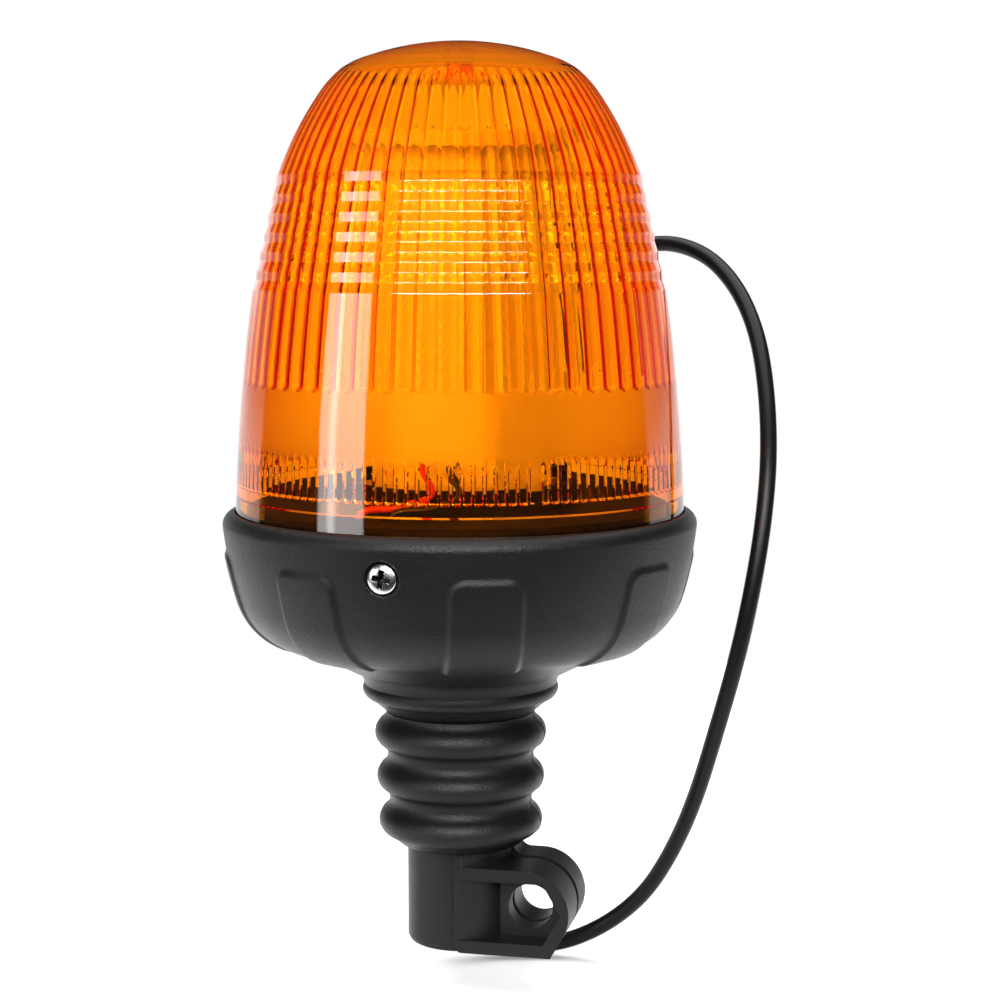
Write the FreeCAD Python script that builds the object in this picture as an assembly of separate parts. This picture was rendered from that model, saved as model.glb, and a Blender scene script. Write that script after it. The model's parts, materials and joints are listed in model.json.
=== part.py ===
import FreeCAD, Part
import math
import os

Vector = FreeCAD.Vector
UP = Vector(0, 0, 1)
DOWN = Vector(0, 0, -1)
ORIGIN = Vector(0, 0, 0)

# Warning beacon on a flexible pole mount, in millimetres.
# The origin is the centre of the pole socket's mouth, +Z is up and the clamp ears point along +X.

# Clearances
slide_gap = 0.3
hole_gap = 0.3
pin_gap = 0.05
cable_gap = 0.1
drill_over = 1.0

# Pole socket with its split clamp
bore_radius = 12.5
bore_depth = 41.0
socket_wall = 4.3
socket_end_wall = 3.5
socket_below_neck = 32.6
socket_mouth_round = 1.6
flange_overhang = 3.4
flange_thickness = 4.0
flange_above_neck_end = 4.6
slot_width = 3.0
slot_below_neck = 2.6
ear_reach = 24.6
ear_radius = 13.9
ear_foot = 0.1
ear_plate = 6.5
ear_root = 2.5
near_ear_proud = 0.3
near_rib_start = 2.2
near_rib_round = 1.8
panel_proud = 0.3
panel_edge = 1.1
far_ear_plate = 12.0
ear_fillet = 4.2
bolt_hole_radius = 7.2
nut_flats = 19.6

# Rubber neck: three rings between the socket and the cup's collar
ring_count = 3
ring_radius = 27.5
ring_taper = 0.6
ring_pitch = 14.3
first_ring = 7.2
crest_round = 6.3
valley_round = 2.4
neck_foot_wall = 2.6
neck_wall_bore = 17.5

# Rubber cup
collar_radius = 31.3
collar_round = 2.2
collar_arc_in = 0.88
collar_flank = 3.0
collar_height = 9.5
cone_radius = 36.0
cone_rise = 4.7
floor_radius = 58.0
floor_rise = 6.6
wall_draft = 5.2
corner_rise = 11.7
corner_in = 3.4
corner_up = 5.4
wall_bulge = 0.6
floor_bulge = 0.6
cup_radius = 75.0
lip_wall = 3.8
cup_wall_rise = 28.0
lip_rise = 5.0
lip_round = 3.1
cup_floor_wall = 5.0
cup_lower_wall = 4.3
cup_shoulder_drop = 22.7
gasket_thickness = 2.4

# Raised pads round the cup, and the angle that turns the whole head on its neck
pad_count = 8
pad_width = 21.5
pad_height = 1.1
pad_top_below_lip = 12.5
pad_corner = 4.5
pad_root = 1.0
head_angle = -94.7

# Lens
lens_wall = 3.0
lens_shoulder = 0.6
lens_seat_below_lip = 2.7
lens_middle_in = 2.2
lens_middle_rise = 36.7
prism_base_in = 6.3
prism_base_rise = 71.1
prism_count = 6
prism_pitch = 5.82
prism_step = 1.05
prism_draft = 0.2
prism_hollow_bulge = 0.3
dome_bulge_in = 5.7
dome_bulge_rise = 17.2
dome_in = 14.8
dome_rise = 31.7
crown_in = 16.3
crown_rise = 7.3
crown_top_rise = 2.5
shoulder_round_out = 2.0
stub_radius = 4.6
stub_drop = 4.5

# Round ribs inside the lens, from above its plain band to the shoulder
rib_count = 66
rib_round = 6.0
rib_land = 0.1
rib_foot_rise = 44.7
rib_top_rise = 131.5

# Screws through the cup wall
screw_below_lip = 13.0
screw_radius = 2.45
screw_head_radius = 4.5
screw_head_height = 2.5
screw_head_dome = 0.6
screw_length = 13.0
counterbore_radius = 5.15
counterbore_web = 1.5
recess_width = 1.1
recess_reach = 2.3
recess_depth = 1.5
insert_radius = 3.6
insert_length = 7.0
insert_proud = 1.0
boss_width = 12.0

# Carrier, the moulded tray that the lens and the light tower stand on
carrier_above_lip = 1.0
carrier_plate = 3.0
carrier_rim = 3.0
post_radius = 4.0
post_ring = 36.0
post_count = 3
post_angle = 60.0
post_height = 12.0
wire_hole_radius = 3.0

# Light tower: a hexagonal column with a board on each side
tower_sides = 6
tower_apothem = 24.2
tower_wall = 2.5
tower_height = 110.0
tower_foot_radius = 35.0
tower_foot_plate = 2.5
tower_rim_wall = 2.2
tower_rim_height = 6.5
led_board_width = 26.0
led_board_thickness = 1.6
led_board_lift = 4.0
led_board_drop = 3.0
led_size = 5.0
led_body = 1.4
led_dome_radius = 2.1
led_rows = 3
led_pitch = 13.5
led_top_margin = 12.0
cap_radius = 31.5
cap_thickness = 5.0
cap_edge_round = 1.5

# Small screws of the tower, the cap and the driver board
small_screw_radius = 1.45
small_head_radius = 2.8
small_head_height = 2.0
small_screw_grip = 7.0
foot_screw_ring = 30.5
foot_screw_count = 3
foot_screw_angle = 30.0

# Driver board and what is on it
board_radius = 44.0
board_thickness = 1.6
choke_radius = 8.0
choke_hole = 3.0
choke_height = 9.0
choke_place = (18.0, -6.0)
capacitor_radius = 5.0
capacitor_height = 14.0
capacitor_place = (-12.0, -13.5)
capacitor_pitch = 13.0
chip_size = 9.0
chip_height = 2.2
chip_place = (2.0, -8.0)
terminal_length = 13.0
terminal_width = 9.0
terminal_height = 10.0
terminal_inset = 20.0

# Supply cable, its grommet and its wires
cable_radius = 2.75
grommet_neck_radius = 6.0
grommet_flange_radius = 9.0
grommet_flange = 2.5
grommet_tail = 22.0
grommet_tail_radius = 4.2
cable_boss_radius = 11.0
cable_boss_drop = 0.2
cable_boss_rise = 6.2
tie_height = 4.0
tie_thickness = 1.4
tie_head = 5.0
wire_radius = 1.1
wire_ring = 52.0
wire_hole_angle = -112.0
wire_hole_spread = 12.0
wire_sweep = 15.0
wire_turn = 10.5
wire_inset = 10.4
wire_lift = 2.6
wire_stand = 7.8
wire_joint_height = 6.5
wire_board_spread = 8.0
core_radius = 0.9
core_length = 22.0
core_tip_radius = 0.5
core_tip_length = 7.0

# Route of the supply cable: down from the cup, round behind the ears, up beside the lens and over behind it
cable_route = [
    (-15.5, 48.0, 108.0),
    (-15.5, 48.0, 79.5),
    (-15.7, 48.1, 50.0),
    (-17.6, 48.3, 25.5),
    (-18.5, 47.7, 8.5),
    (-13.5, 48.5, -4.5),
    (-4.5, 50.5, -14.0),
    (7.5, 53.0, -19.2),
    (21.5, 56.0, -19.0),
    (37.0, 56.0, -12.0),
    (51.5, 51.0, 1.0),
    (61.5, 44.5, 17.0),
    (71.0, 36.0, 38.5),
    (79.0, 28.0, 65.0),
    (86.0, 23.0, 90.0),
    (90.5, 23.5, 112.0),
    (93.5, 28.0, 133.5),
    (94.5, 35.5, 155.5),
    (92.0, 48.5, 177.5),
    (87.0, 63.5, 195.5),
    (78.0, 79.0, 210.5),
    (65.5, 92.5, 221.0),
    (48.5, 102.0, 225.0),
    (31.0, 108.0, 219.0),
    (20.0, 112.0, 205.5),
    (15.5, 113.5, 188.0),
    (13.5, 113.0, 160.0),
    (14.0, 111.0, 132.0),
]

# Heights and radii that follow from the sizes above
socket_radius = bore_radius + socket_wall
socket_top = bore_depth + socket_end_wall
neck_bottom = socket_below_neck
bolt_height = ear_foot + ear_radius
neck_top = neck_bottom + first_ring + (ring_count - 0.5) * ring_pitch
collar_top = neck_top + collar_height
cone_top = collar_top + cone_rise
floor_edge = cone_top + floor_rise
corner_top = floor_edge + corner_rise
cup_widest = corner_top + cup_wall_rise
lip_top = cup_widest + lip_rise
corner_radius = cup_radius - wall_draft
lens_radius = cup_radius - lip_wall - slide_gap
lens_seat = lip_top - lens_seat_below_lip
lens_skirt_radius = lens_radius - lens_shoulder
lens_skirt_bore = lens_skirt_radius - lens_wall
lens_middle_radius = lens_radius - lens_middle_in
prism_base_radius = lens_radius - prism_base_in
prism_top_radius = prism_base_radius - prism_count * (prism_step + prism_draft)
dome_bulge_radius = prism_top_radius - dome_bulge_in
dome_radius = prism_top_radius - dome_in
crown_radius = dome_radius - crown_in
cup_bore = lens_skirt_radius + slide_gap
counterbore_floor = cup_bore + counterbore_web
cup_shoulder = lip_top - cup_shoulder_drop
skirt_bottom = cup_shoulder + gasket_thickness
screw_height = lip_top - screw_below_lip
carrier_top = lip_top + carrier_above_lip
carrier_radius = lens_skirt_bore - slide_gap
tower_top = carrier_top + tower_height
board_top = carrier_top - carrier_plate - post_height
board_bottom = board_top - board_thickness
exit_x, exit_y, cable_inner_end = cable_route[0]
cable_boss_bottom = cone_top + cable_boss_drop
cable_boss_top = floor_edge + cable_boss_rise


def at(radius, height):
    return Vector(radius, 0, height)


def outline(start, *steps):
    """Closed face in the XZ plane: a pair ends a line, a pair of pairs is an arc through one to the other."""
    here = at(*start)
    edges = []
    for step in steps:
        if isinstance(step[0], tuple):
            end = at(*step[1])
            edges.append(Part.Arc(here, at(*step[0]), end).toShape())
        else:
            end = at(*step)
            edges.append(Part.LineSegment(here, end).toShape())
        here = end
    edges.append(Part.LineSegment(here, at(*start)).toShape())
    return Part.Face(Part.Wire(edges))


def turned(start, *steps):
    """Body of revolution about the pole axis."""
    return outline(start, *steps).revolve(ORIGIN, UP, 360)


def clocked(shape, angle):
    """Copy of a shape turned about the pole axis."""
    copy = shape.copy()
    copy.rotate(ORIGIN, UP, angle)
    return copy


def placed(shape, x, y, z):
    copy = shape.copy()
    copy.translate(Vector(x, y, z))
    return copy


def block(width, depth, height, x, y, z):
    """Box centred on x and y, standing on z."""
    return Part.makeBox(width, depth, height, Vector(x - width / 2, y - depth / 2, z))


def polar(radius, angle):
    turn = math.radians(angle)
    return radius * math.cos(turn), radius * math.sin(turn)


def route_tube(points, radius, report=None):
    """Round tube along straight runs joined by the largest tangent arcs that the runs leave room for."""
    stops = [Vector(*point) for point in points]
    edges = []
    radii = []
    here = stops[0]
    for before, corner, after in zip(stops, stops[1:], stops[2:]):
        back = before - corner
        ahead = after - corner
        reach = 0.45 * min(back.Length, ahead.Length)
        half_turn = (math.pi - back.getAngle(ahead)) / 2
        back.normalize()
        ahead.normalize()
        first = corner + back * reach
        last = corner + ahead * reach
        bend = reach / math.tan(half_turn)
        inward = back + ahead
        inward.normalize()
        middle = corner + inward * (bend / math.cos(half_turn) - bend)
        edges.append(Part.LineSegment(here, first).toShape())
        edges.append(Part.Arc(first, middle, last).toShape())
        radii.append(bend)
        here = last
    edges.append(Part.LineSegment(here, stops[-1]).toShape())
    path = Part.Wire(edges)
    section = Part.Wire(Part.makeCircle(radius, stops[0], stops[1] - stops[0]))
    tube = path.makePipeShell([section], True, False)
    if report:
        ideal = math.pi * radius ** 2 * path.Length
        print(report, "length", round(path.Length, 1), "volume ratio", round(tube.Volume / ideal, 4))
        print(report, "arc radii", [round(bend, 1) for bend in radii])
    return tube


def small_screw(head_seat, x, y, direction):
    """Small pan-head screw whose head sits on head_seat and whose shank runs along direction."""
    seat = Vector(x, y, head_seat)
    head = Part.makeCylinder(small_head_radius, small_head_height, seat, direction * -1)
    shank = Part.makeCylinder(small_screw_radius, small_screw_grip, seat, direction)
    return head.fuse(shank).removeSplitter()


def foot_screw_places():
    """Places of the screws that hold the tower's foot, on the middle of every second side."""
    step = 360 / foot_screw_count
    return [polar(foot_screw_ring, foot_screw_angle + step * index) for index in range(foot_screw_count)]


def post_places():
    """Places of the posts that carry the driver board."""
    step = 360 / post_count
    return [polar(post_ring, post_angle + step * index) for index in range(post_count)]


def ear_outline(start, top_fillet):
    """Side view of a clamp ear from a start on the tube: round top and outer end, slanted lower corner."""
    slant = math.radians(30)
    bottom = bolt_height - ear_radius
    top = bolt_height + ear_radius
    slant_end = (ear_reach + ear_radius * math.cos(slant), bolt_height - ear_radius * math.sin(slant))
    slant_start = (ear_reach + ear_radius * math.tan(slant), bottom)
    round_middle = (ear_reach + ear_radius * math.cos(slant), bolt_height + ear_radius * math.sin(slant))
    steps = [slant_start, slant_end, (round_middle, (ear_reach, top))]
    if top_fillet:
        inner = socket_radius
        diagonal = top_fillet * (1 - math.sqrt(0.5))
        steps.append((inner + top_fillet, top))
        steps.append(((inner + diagonal, top + diagonal), (inner, top + top_fillet)))
        steps.append((start, top + top_fillet))
    else:
        steps.append((start, top))
    return outline((start, bottom), *steps)


def nut_pocket():
    """Side view of the pocket in the near ear, ending in half a hexagon that keeps a nut from turning."""
    half = nut_flats / 2
    corner = nut_flats / math.sqrt(3)
    low = bolt_height - half
    high = bolt_height + half
    return outline(
        (-ear_root, low),
        (ear_reach + corner / 2, low),
        (ear_reach + corner, bolt_height),
        (ear_reach + corner / 2, high),
        (-ear_root, high),
    )


def near_ear():
    """Near ear: two ribs with rounded ends that run from the tube round a pocket for the nut."""
    half_slot = slot_width / 2
    depth = socket_radius + near_ear_proud
    pocket_floor = half_slot + ear_plate
    plate = ear_outline(near_rib_start, 0).extrude(Vector(0, -pocket_floor, 0))
    ribs = placed(ear_outline(near_rib_start, 0), 0, -pocket_floor, 0).extrude(Vector(0, pocket_floor - depth, 0))
    ribs = ribs.cut(placed(nut_pocket(), 0, -pocket_floor, 0).extrude(Vector(0, -depth, 0)))
    ends = [edge for edge in ribs.Edges
            if abs(edge.CenterOfMass.x - near_rib_start) < pin_gap
            and abs(edge.tangentAt(edge.FirstParameter).y) > 0.9]
    return plate.fuse(ribs.makeFillet(near_rib_round, ends))


def raised_panel():
    """Slightly raised half of the tube's outside, away from the ears."""
    panel = turned(
        (socket_radius - panel_proud, socket_mouth_round),
        (socket_radius, socket_mouth_round),
        (socket_radius + panel_proud, socket_mouth_round + panel_proud),
        (socket_radius + panel_proud, neck_bottom - slide_gap),
        (socket_radius - panel_proud, neck_bottom - slide_gap),
    )
    return panel.cut(block(2 * socket_radius, 3 * socket_radius, neck_bottom, panel_edge + socket_radius, 0, 0))


def make_pole_socket():
    """Split tube with two clamp ears, a retaining flange inside the neck and a blind pole bore."""
    flange_bottom = neck_bottom + flange_above_neck_end
    flange_top = flange_bottom + flange_thickness
    flange_radius = socket_radius + flange_overhang
    half_round = socket_mouth_round * (1 - math.sqrt(0.5))
    tube = turned(
        (0, 0),
        (socket_radius - socket_mouth_round, 0),
        ((socket_radius - half_round, half_round), (socket_radius, socket_mouth_round)),
        (socket_radius, flange_bottom),
        (flange_radius, flange_bottom),
        (flange_radius, flange_top),
        (socket_radius, flange_top),
        (socket_radius, socket_top),
        (0, socket_top),
    )
    half_slot = slot_width / 2
    far = ear_outline(-ear_root, ear_fillet).extrude(Vector(0, half_slot + far_ear_plate, 0))
    body = tube.fuse([near_ear(), far, raised_panel()]).removeSplitter()
    bore = Part.makeCylinder(bore_radius, bore_depth)
    slot_height = neck_bottom - slot_below_neck
    slot = Part.makeBox(ear_reach + 2 * ear_radius, slot_width, slot_height, Vector(0, -half_slot, 0))
    slot_end = Part.makeBox(ear_reach + 2 * ear_radius, slot_width, ear_fillet + slot_height,
                            Vector(socket_radius, -half_slot, 0))
    hole = Part.makeCylinder(bolt_hole_radius, 4 * socket_radius,
                             Vector(ear_reach, -2 * socket_radius, bolt_height), Vector(0, 1, 0))
    return body.cut([bore, slot, slot_end, hole])


def ring_arcs():
    """Outer outline of the rings: crest arcs and valley arcs that run into each other without a kink."""
    reach = crest_round + valley_round
    centres = []
    for index in range(ring_count):
        radius = ring_radius - ring_taper * (ring_count - 1 - index)
        centres.append((radius - crest_round, neck_bottom + first_ring + index * ring_pitch))
    valleys = []
    for low, high in zip(centres, centres[1:]):
        across = math.hypot(high[0] - low[0], high[1] - low[1])
        out = math.sqrt(reach ** 2 - (across / 2) ** 2)
        turn = math.atan2(high[1] - low[1], high[0] - low[0]) - math.pi / 2
        valleys.append(((low[0] + high[0]) / 2 + out * math.cos(turn),
                        (low[1] + high[1]) / 2 + out * math.sin(turn)))
    last = centres[-1]
    valleys.append((last[0] + math.sqrt(reach ** 2 - (neck_top - last[1]) ** 2), neck_top))
    steps = []
    for index, centre in enumerate(centres):
        crest = (centre[0] + crest_round, centre[1])
        valley = valleys[index]
        share = crest_round / reach
        meet = (centre[0] + (valley[0] - centre[0]) * share, centre[1] + (valley[1] - centre[1]) * share)
        steps.append((crest, meet))
        if index < ring_count - 1:
            above = centres[index + 1]
            onward = (above[0] + (valley[0] - above[0]) * share, above[1] + (valley[1] - above[1]) * share)
            steps.append(((valley[0] - valley_round, valley[1]), onward))
        else:
            quarter = math.atan2(meet[1] - valley[1], meet[0] - valley[0])
            middle = (quarter - math.pi) / 2
            steps.append(((valley[0] + valley_round * math.cos(middle),
                           valley[1] + valley_round * math.sin(middle)),
                          (valley[0] - valley_round, neck_top)))
    start_turn = math.radians(-75)
    foot = centres[0]
    start = (foot[0] + crest_round * math.cos(start_turn), foot[1] + crest_round * math.sin(start_turn))
    return start, steps


def neck_valley_radius():
    start, steps = ring_arcs()
    return steps[-1][1][0]


def make_neck_bellows():
    """Solid rubber neck with rounded rings, gripping the socket's flange from outside."""
    start, steps = ring_arcs()
    grip = socket_radius + slide_gap
    flange_low = neck_bottom + flange_above_neck_end - slide_gap
    flange_high = flange_low + flange_thickness + 2 * slide_gap
    flange_bore = socket_radius + flange_overhang + slide_gap
    return turned(
        (grip, neck_bottom),
        (grip + neck_foot_wall, neck_bottom),
        start,
        *steps,
        (neck_wall_bore, neck_top),
        (neck_wall_bore, flange_high),
        (flange_bore, flange_high),
        (flange_bore, flange_low),
        (grip, flange_low),
    )


def cup_outline_steps(proud):
    """Outside of the cup from the floor's edge up to its widest line, stood proud by a given height."""
    foot = (floor_radius, floor_edge - proud)
    lean = proud * math.sqrt(0.5)
    corner_middle = (corner_radius - corner_in + lean, floor_edge + corner_up - lean)
    corner = (corner_radius + proud, corner_top)
    wall_middle = ((corner_radius + cup_radius) / 2 + wall_bulge + proud, (corner_top + cup_widest) / 2)
    widest = (cup_radius + proud, cup_widest)
    return foot, corner_middle, corner, wall_middle, widest


def make_pads():
    """Rounded pads that stand proud of the cup's wall and run under its corner."""
    foot, corner_middle, corner, wall_middle, widest = cup_outline_steps(pad_height)
    middle_floor = ((cone_radius + floor_radius) / 2, (cone_top + floor_edge) / 2 - pad_height + floor_bulge)
    skin = turned(
        (cone_radius, cone_top + pad_height),
        (middle_floor, foot),
        (corner_middle, corner),
        (wall_middle, widest),
        (cup_bore + pad_root, cup_widest),
        (cup_bore + pad_root, cup_shoulder - pad_root),
        (corner_radius - 2 * pad_root, corner_top),
        (floor_radius, floor_edge + 2 * pad_root),
    )
    low = cone_top - pad_height
    high = lip_top - pad_top_below_lip
    plate = Part.makeBox(cup_radius, pad_width, high - low, Vector(cone_radius + pad_corner, -pad_width / 2, low))
    tall_edges = [edge for edge in plate.Edges
                  if abs(edge.tangentAt(edge.FirstParameter).x) > 0.9 and edge.CenterOfMass.z > high - pad_corner]
    plate = plate.makeFillet(pad_corner, tall_edges)
    pad = skin.common(plate)
    step = 360 / pad_count
    return [clocked(pad, head_angle + step * (index + 0.5)) for index in range(pad_count)]


def make_rubber_cup():
    """Rubber cup with its collar, pads, screw counterbores and the boss that the cable leaves by."""
    foot, corner_middle, corner, wall_middle, widest = cup_outline_steps(0)
    lip_corner = lip_round * (1 - math.sqrt(0.5))
    shell = turned(
        (neck_wall_bore, neck_top),
        (neck_valley_radius(), neck_top),
        (collar_radius - collar_round, neck_top + collar_flank),
        ((collar_radius - collar_arc_in, neck_top + collar_flank + collar_arc_in),
         (collar_radius, neck_top + collar_flank + collar_round)),
        (collar_radius, collar_top),
        (cone_radius, cone_top),
        (((cone_radius + floor_radius) / 2, (cone_top + floor_edge) / 2 + floor_bulge), foot),
        (corner_middle, corner),
        (wall_middle, widest),
        ((cup_radius - lip_corner, lip_top - lip_corner), (cup_radius - lip_round, lip_top)),
        (lens_radius + slide_gap, lip_top),
        (lens_radius + slide_gap, lens_seat - slide_gap),
        (cup_bore, lens_seat - slide_gap),
        (cup_bore, cup_shoulder),
        (corner_radius - cup_lower_wall, cup_shoulder),
        (corner_radius - cup_lower_wall, corner_top),
        (floor_radius, floor_edge + cup_floor_wall),
        (cone_radius, cone_top + cup_floor_wall),
        (neck_wall_bore, collar_top),
    )
    boss_height = cable_boss_top - cable_boss_bottom
    boss = Part.makeCylinder(cable_boss_radius, boss_height, Vector(exit_x, exit_y, cable_boss_bottom))
    cup = shell.fuse(make_pads() + [boss])
    cuts = [Part.makeCylinder(grommet_neck_radius + cable_gap, boss_height,
                              Vector(exit_x, exit_y, cable_boss_bottom))]
    for angle in (head_angle, head_angle + 180):
        seat = Vector(*polar(counterbore_floor, angle), screw_height)
        outward = Vector(*polar(1, angle), 0)
        inner = Vector(*polar(cup_bore - drill_over, angle), screw_height)
        cuts.append(Part.makeCylinder(counterbore_radius, 2 * counterbore_radius, seat, outward))
        cuts.append(Part.makeCylinder(screw_radius + hole_gap, counterbore_radius, inner, outward))
    return cup.cut(cuts).removeSplitter()


def screw_holes(radius, start, length):
    """Radial drills for the two cup screws."""
    drills = []
    for angle in (head_angle, head_angle + 180):
        drills.append(Part.makeCylinder(radius, length, Vector(*polar(start, angle), screw_height),
                                        Vector(*polar(1, angle), 0)))
    return drills


def arc_radius(first, middle, last, height):
    """Radius at a height on the outward arc through three points."""
    circle = Part.Arc(at(*first), at(*middle), at(*last)).toShape().Curve
    rise = height - circle.Center.z
    return circle.Center.x + math.sqrt(circle.Radius ** 2 - rise ** 2)


def lens_rib(low, middle, high):
    """Tube with ball ends along the wall, sunk so that its neighbours leave only a narrow land between them."""
    path = []
    for radius, height in (low, middle, high):
        half_width = math.pi * radius / rib_count - rib_land / 2
        path.append(at(radius + math.sqrt(rib_round ** 2 - half_width ** 2), height))
    line = Part.Arc(*path).toShape()
    section = Part.Wire(Part.makeCircle(rib_round, path[0], line.tangentAt(line.FirstParameter)))
    tube = Part.Wire([line]).makePipeShell([section], True, False)
    return tube.fuse([Part.makeSphere(rib_round, path[0]), Part.makeSphere(rib_round, path[2])])


def make_lens_dome():
    """Clear dome: prism rings outside, round ribs inside, a rounded shoulder and a plain crown with its stub."""
    prism_low = lens_seat + prism_base_rise
    steps = []
    radius = prism_base_radius
    height = prism_low
    for index in range(prism_count):
        steps.append((radius - prism_step, height + prism_pitch / 2))
        steps.append((radius - prism_step - prism_draft, height + prism_pitch))
        radius -= prism_step + prism_draft
        height += prism_pitch
    prism_high = height
    middle = (lens_middle_radius, lens_seat + lens_middle_rise)
    dome_bulge = (dome_bulge_radius, prism_high + dome_bulge_rise)
    dome_end = (dome_radius, prism_high + dome_rise)
    crown_edge = (crown_radius, dome_end[1] + crown_rise)
    shoulder = ((dome_radius + crown_radius) / 2 + shoulder_round_out / 2,
                (dome_end[1] + crown_edge[1]) / 2 + shoulder_round_out / 2)
    top = crown_edge[1] + crown_top_rise
    crown_ball = (crown_radius ** 2 + crown_top_rise ** 2) / (2 * crown_top_rise)
    crown_middle = crown_radius / 2
    crown = (crown_middle, top - crown_ball + math.sqrt(crown_ball ** 2 - crown_middle ** 2))
    lean = lens_wall * math.sqrt(0.5)

    def inside(point):
        return point[0] - lens_wall, point[1]

    def under(point):
        return point[0] - lean, point[1] - lean

    def below(point):
        return point[0], point[1] - lens_wall

    prism_foot = (prism_base_radius, prism_low)
    prism_head = (prism_top_radius, prism_high)
    prism_middle = ((prism_base_radius + prism_top_radius) / 2 + prism_hollow_bulge, (prism_low + prism_high) / 2)
    outside = turned(
        (0, skirt_bottom),
        (lens_skirt_radius, skirt_bottom),
        (lens_skirt_radius, lens_seat),
        (lens_radius, lens_seat),
        (middle, prism_foot),
        *steps,
        (dome_bulge, dome_end),
        (shoulder, crown_edge),
        (crown, (0, top)),
    )
    core = turned(
        (0, skirt_bottom - drill_over),
        (lens_skirt_bore, skirt_bottom - drill_over),
        (lens_skirt_bore, lens_seat),
        (inside(middle), inside(prism_foot)),
        (inside(prism_middle), inside(prism_head)),
        (inside(dome_bulge), under(dome_end)),
        (under(shoulder), below(crown_edge)),
        (below(crown), (0, top - lens_wall)),
    )
    rib_foot = lens_seat + rib_foot_rise
    rib_top = lens_seat + rib_top_rise
    rib = lens_rib(
        (arc_radius((lens_skirt_bore, lens_seat), inside(middle), inside(prism_foot), rib_foot), rib_foot),
        inside(prism_middle),
        (arc_radius(inside(prism_head), inside(dome_bulge), under(dome_end), rib_top), rib_top),
    )
    core = core.cut([clocked(rib, 360 / rib_count * index) for index in range(rib_count)])
    core = core.cut(Part.makeCylinder(stub_radius, stub_drop + lens_wall, Vector(0, 0, top - lens_wall - stub_drop)))
    drills = screw_holes(screw_radius + hole_gap, lens_skirt_bore - drill_over, lens_wall + 2 * drill_over)
    return outside.cut([core] + drills)


def make_lens_gasket():
    """Flat sealing ring under the lens skirt and the carrier's rim."""
    return turned(
        (carrier_radius - carrier_rim, cup_shoulder),
        (lens_skirt_radius, cup_shoulder),
        (lens_skirt_radius, skirt_bottom),
        (carrier_radius - carrier_rim, skirt_bottom),
    )


def make_carrier():
    """Black tray with a rim, bosses for the screw inserts and posts for the driver board."""
    under_plate = carrier_top - carrier_plate
    tray = turned(
        (0, under_plate),
        (carrier_radius - carrier_rim, under_plate),
        (carrier_radius - carrier_rim, skirt_bottom),
        (carrier_radius, skirt_bottom),
        (carrier_radius, carrier_top),
        (0, carrier_top),
    )
    added = [Part.makeCylinder(post_radius, post_height, Vector(x, y, under_plate - post_height))
             for x, y in post_places()]
    foot_clear = tower_foot_radius + slide_gap
    added.append(turned(
        (foot_clear, under_plate),
        (foot_clear + tower_rim_wall, under_plate),
        (foot_clear + tower_rim_wall, carrier_top + tower_rim_height),
        (foot_clear, carrier_top + tower_rim_height),
    ))
    rim_inside = carrier_radius - carrier_rim
    boss = block(insert_length, boss_width, under_plate - screw_height + boss_width / 2,
                 rim_inside - insert_length / 2 + insert_proud, 0, screw_height - boss_width / 2)
    added += [clocked(boss, angle) for angle in (head_angle, head_angle + 180)]
    drills = screw_holes(insert_radius + pin_gap, rim_inside - 2 * insert_length, 4 * insert_length)
    drills += [Part.makeCylinder(small_screw_radius + pin_gap, small_screw_grip, Vector(x, y, board_bottom))
               for x, y in post_places()]
    drills += [Part.makeCylinder(small_screw_radius + pin_gap, small_screw_grip,
                                 Vector(x, y, carrier_top - small_screw_grip))
               for x, y in foot_screw_places()]
    drills += [Part.makeCylinder(wire_hole_radius, 3 * carrier_plate,
                                 Vector(*start[:2], carrier_top - 2 * carrier_plate))
               for start in (wire_route(side)[0] for side in (-1, 1))]
    return tray.fuse(added).cut(drills).removeSplitter()


def make_cup_screws():
    """Two cross-recess pan-head screws, pointing at the axis."""
    rounding = screw_head_radius - screw_head_dome
    head = turned(
        (0, 0),
        (screw_head_radius, 0),
        (screw_head_radius, screw_head_height - screw_head_dome),
        ((screw_head_radius - 0.3 * screw_head_dome, screw_head_height - 0.3 * screw_head_dome),
         (rounding, screw_head_height)),
        (0, screw_head_height),
    )
    shank = Part.makeCylinder(screw_radius, screw_length, ORIGIN, DOWN)
    low = screw_head_height - recess_depth
    arms = [block(2 * recess_reach, recess_width, recess_depth, 0, 0, low),
            block(recess_width, 2 * recess_reach, recess_depth, 0, 0, low)]
    screw = head.fuse(shank).cut(arms).removeSplitter()
    screw.rotate(ORIGIN, Vector(0, 1, 0), 90)
    screw.translate(Vector(counterbore_floor, 0, screw_height))
    return Part.makeCompound([clocked(screw, angle) for angle in (head_angle, head_angle + 180)])


def make_screw_inserts():
    """Two brass sleeves in the carrier's bosses."""
    start = carrier_radius - carrier_rim - insert_length + insert_proud
    sleeves = []
    for solid, bore in zip(screw_holes(insert_radius, start, insert_length),
                           screw_holes(screw_radius + pin_gap, start, insert_length)):
        sleeves.append(solid.cut(bore))
    return Part.makeCompound(sleeves)


def hexagon(apothem, low, high):
    """Upright six-sided column with a corner on the +X axis."""
    radius = apothem / math.cos(math.pi / tower_sides)
    step = 360 / tower_sides
    corners = [Vector(*polar(radius, step * index), low) for index in range(tower_sides)]
    face = Part.Face(Part.makePolygon(corners + corners[:1]))
    return face.extrude(Vector(0, 0, high - low))


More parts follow.
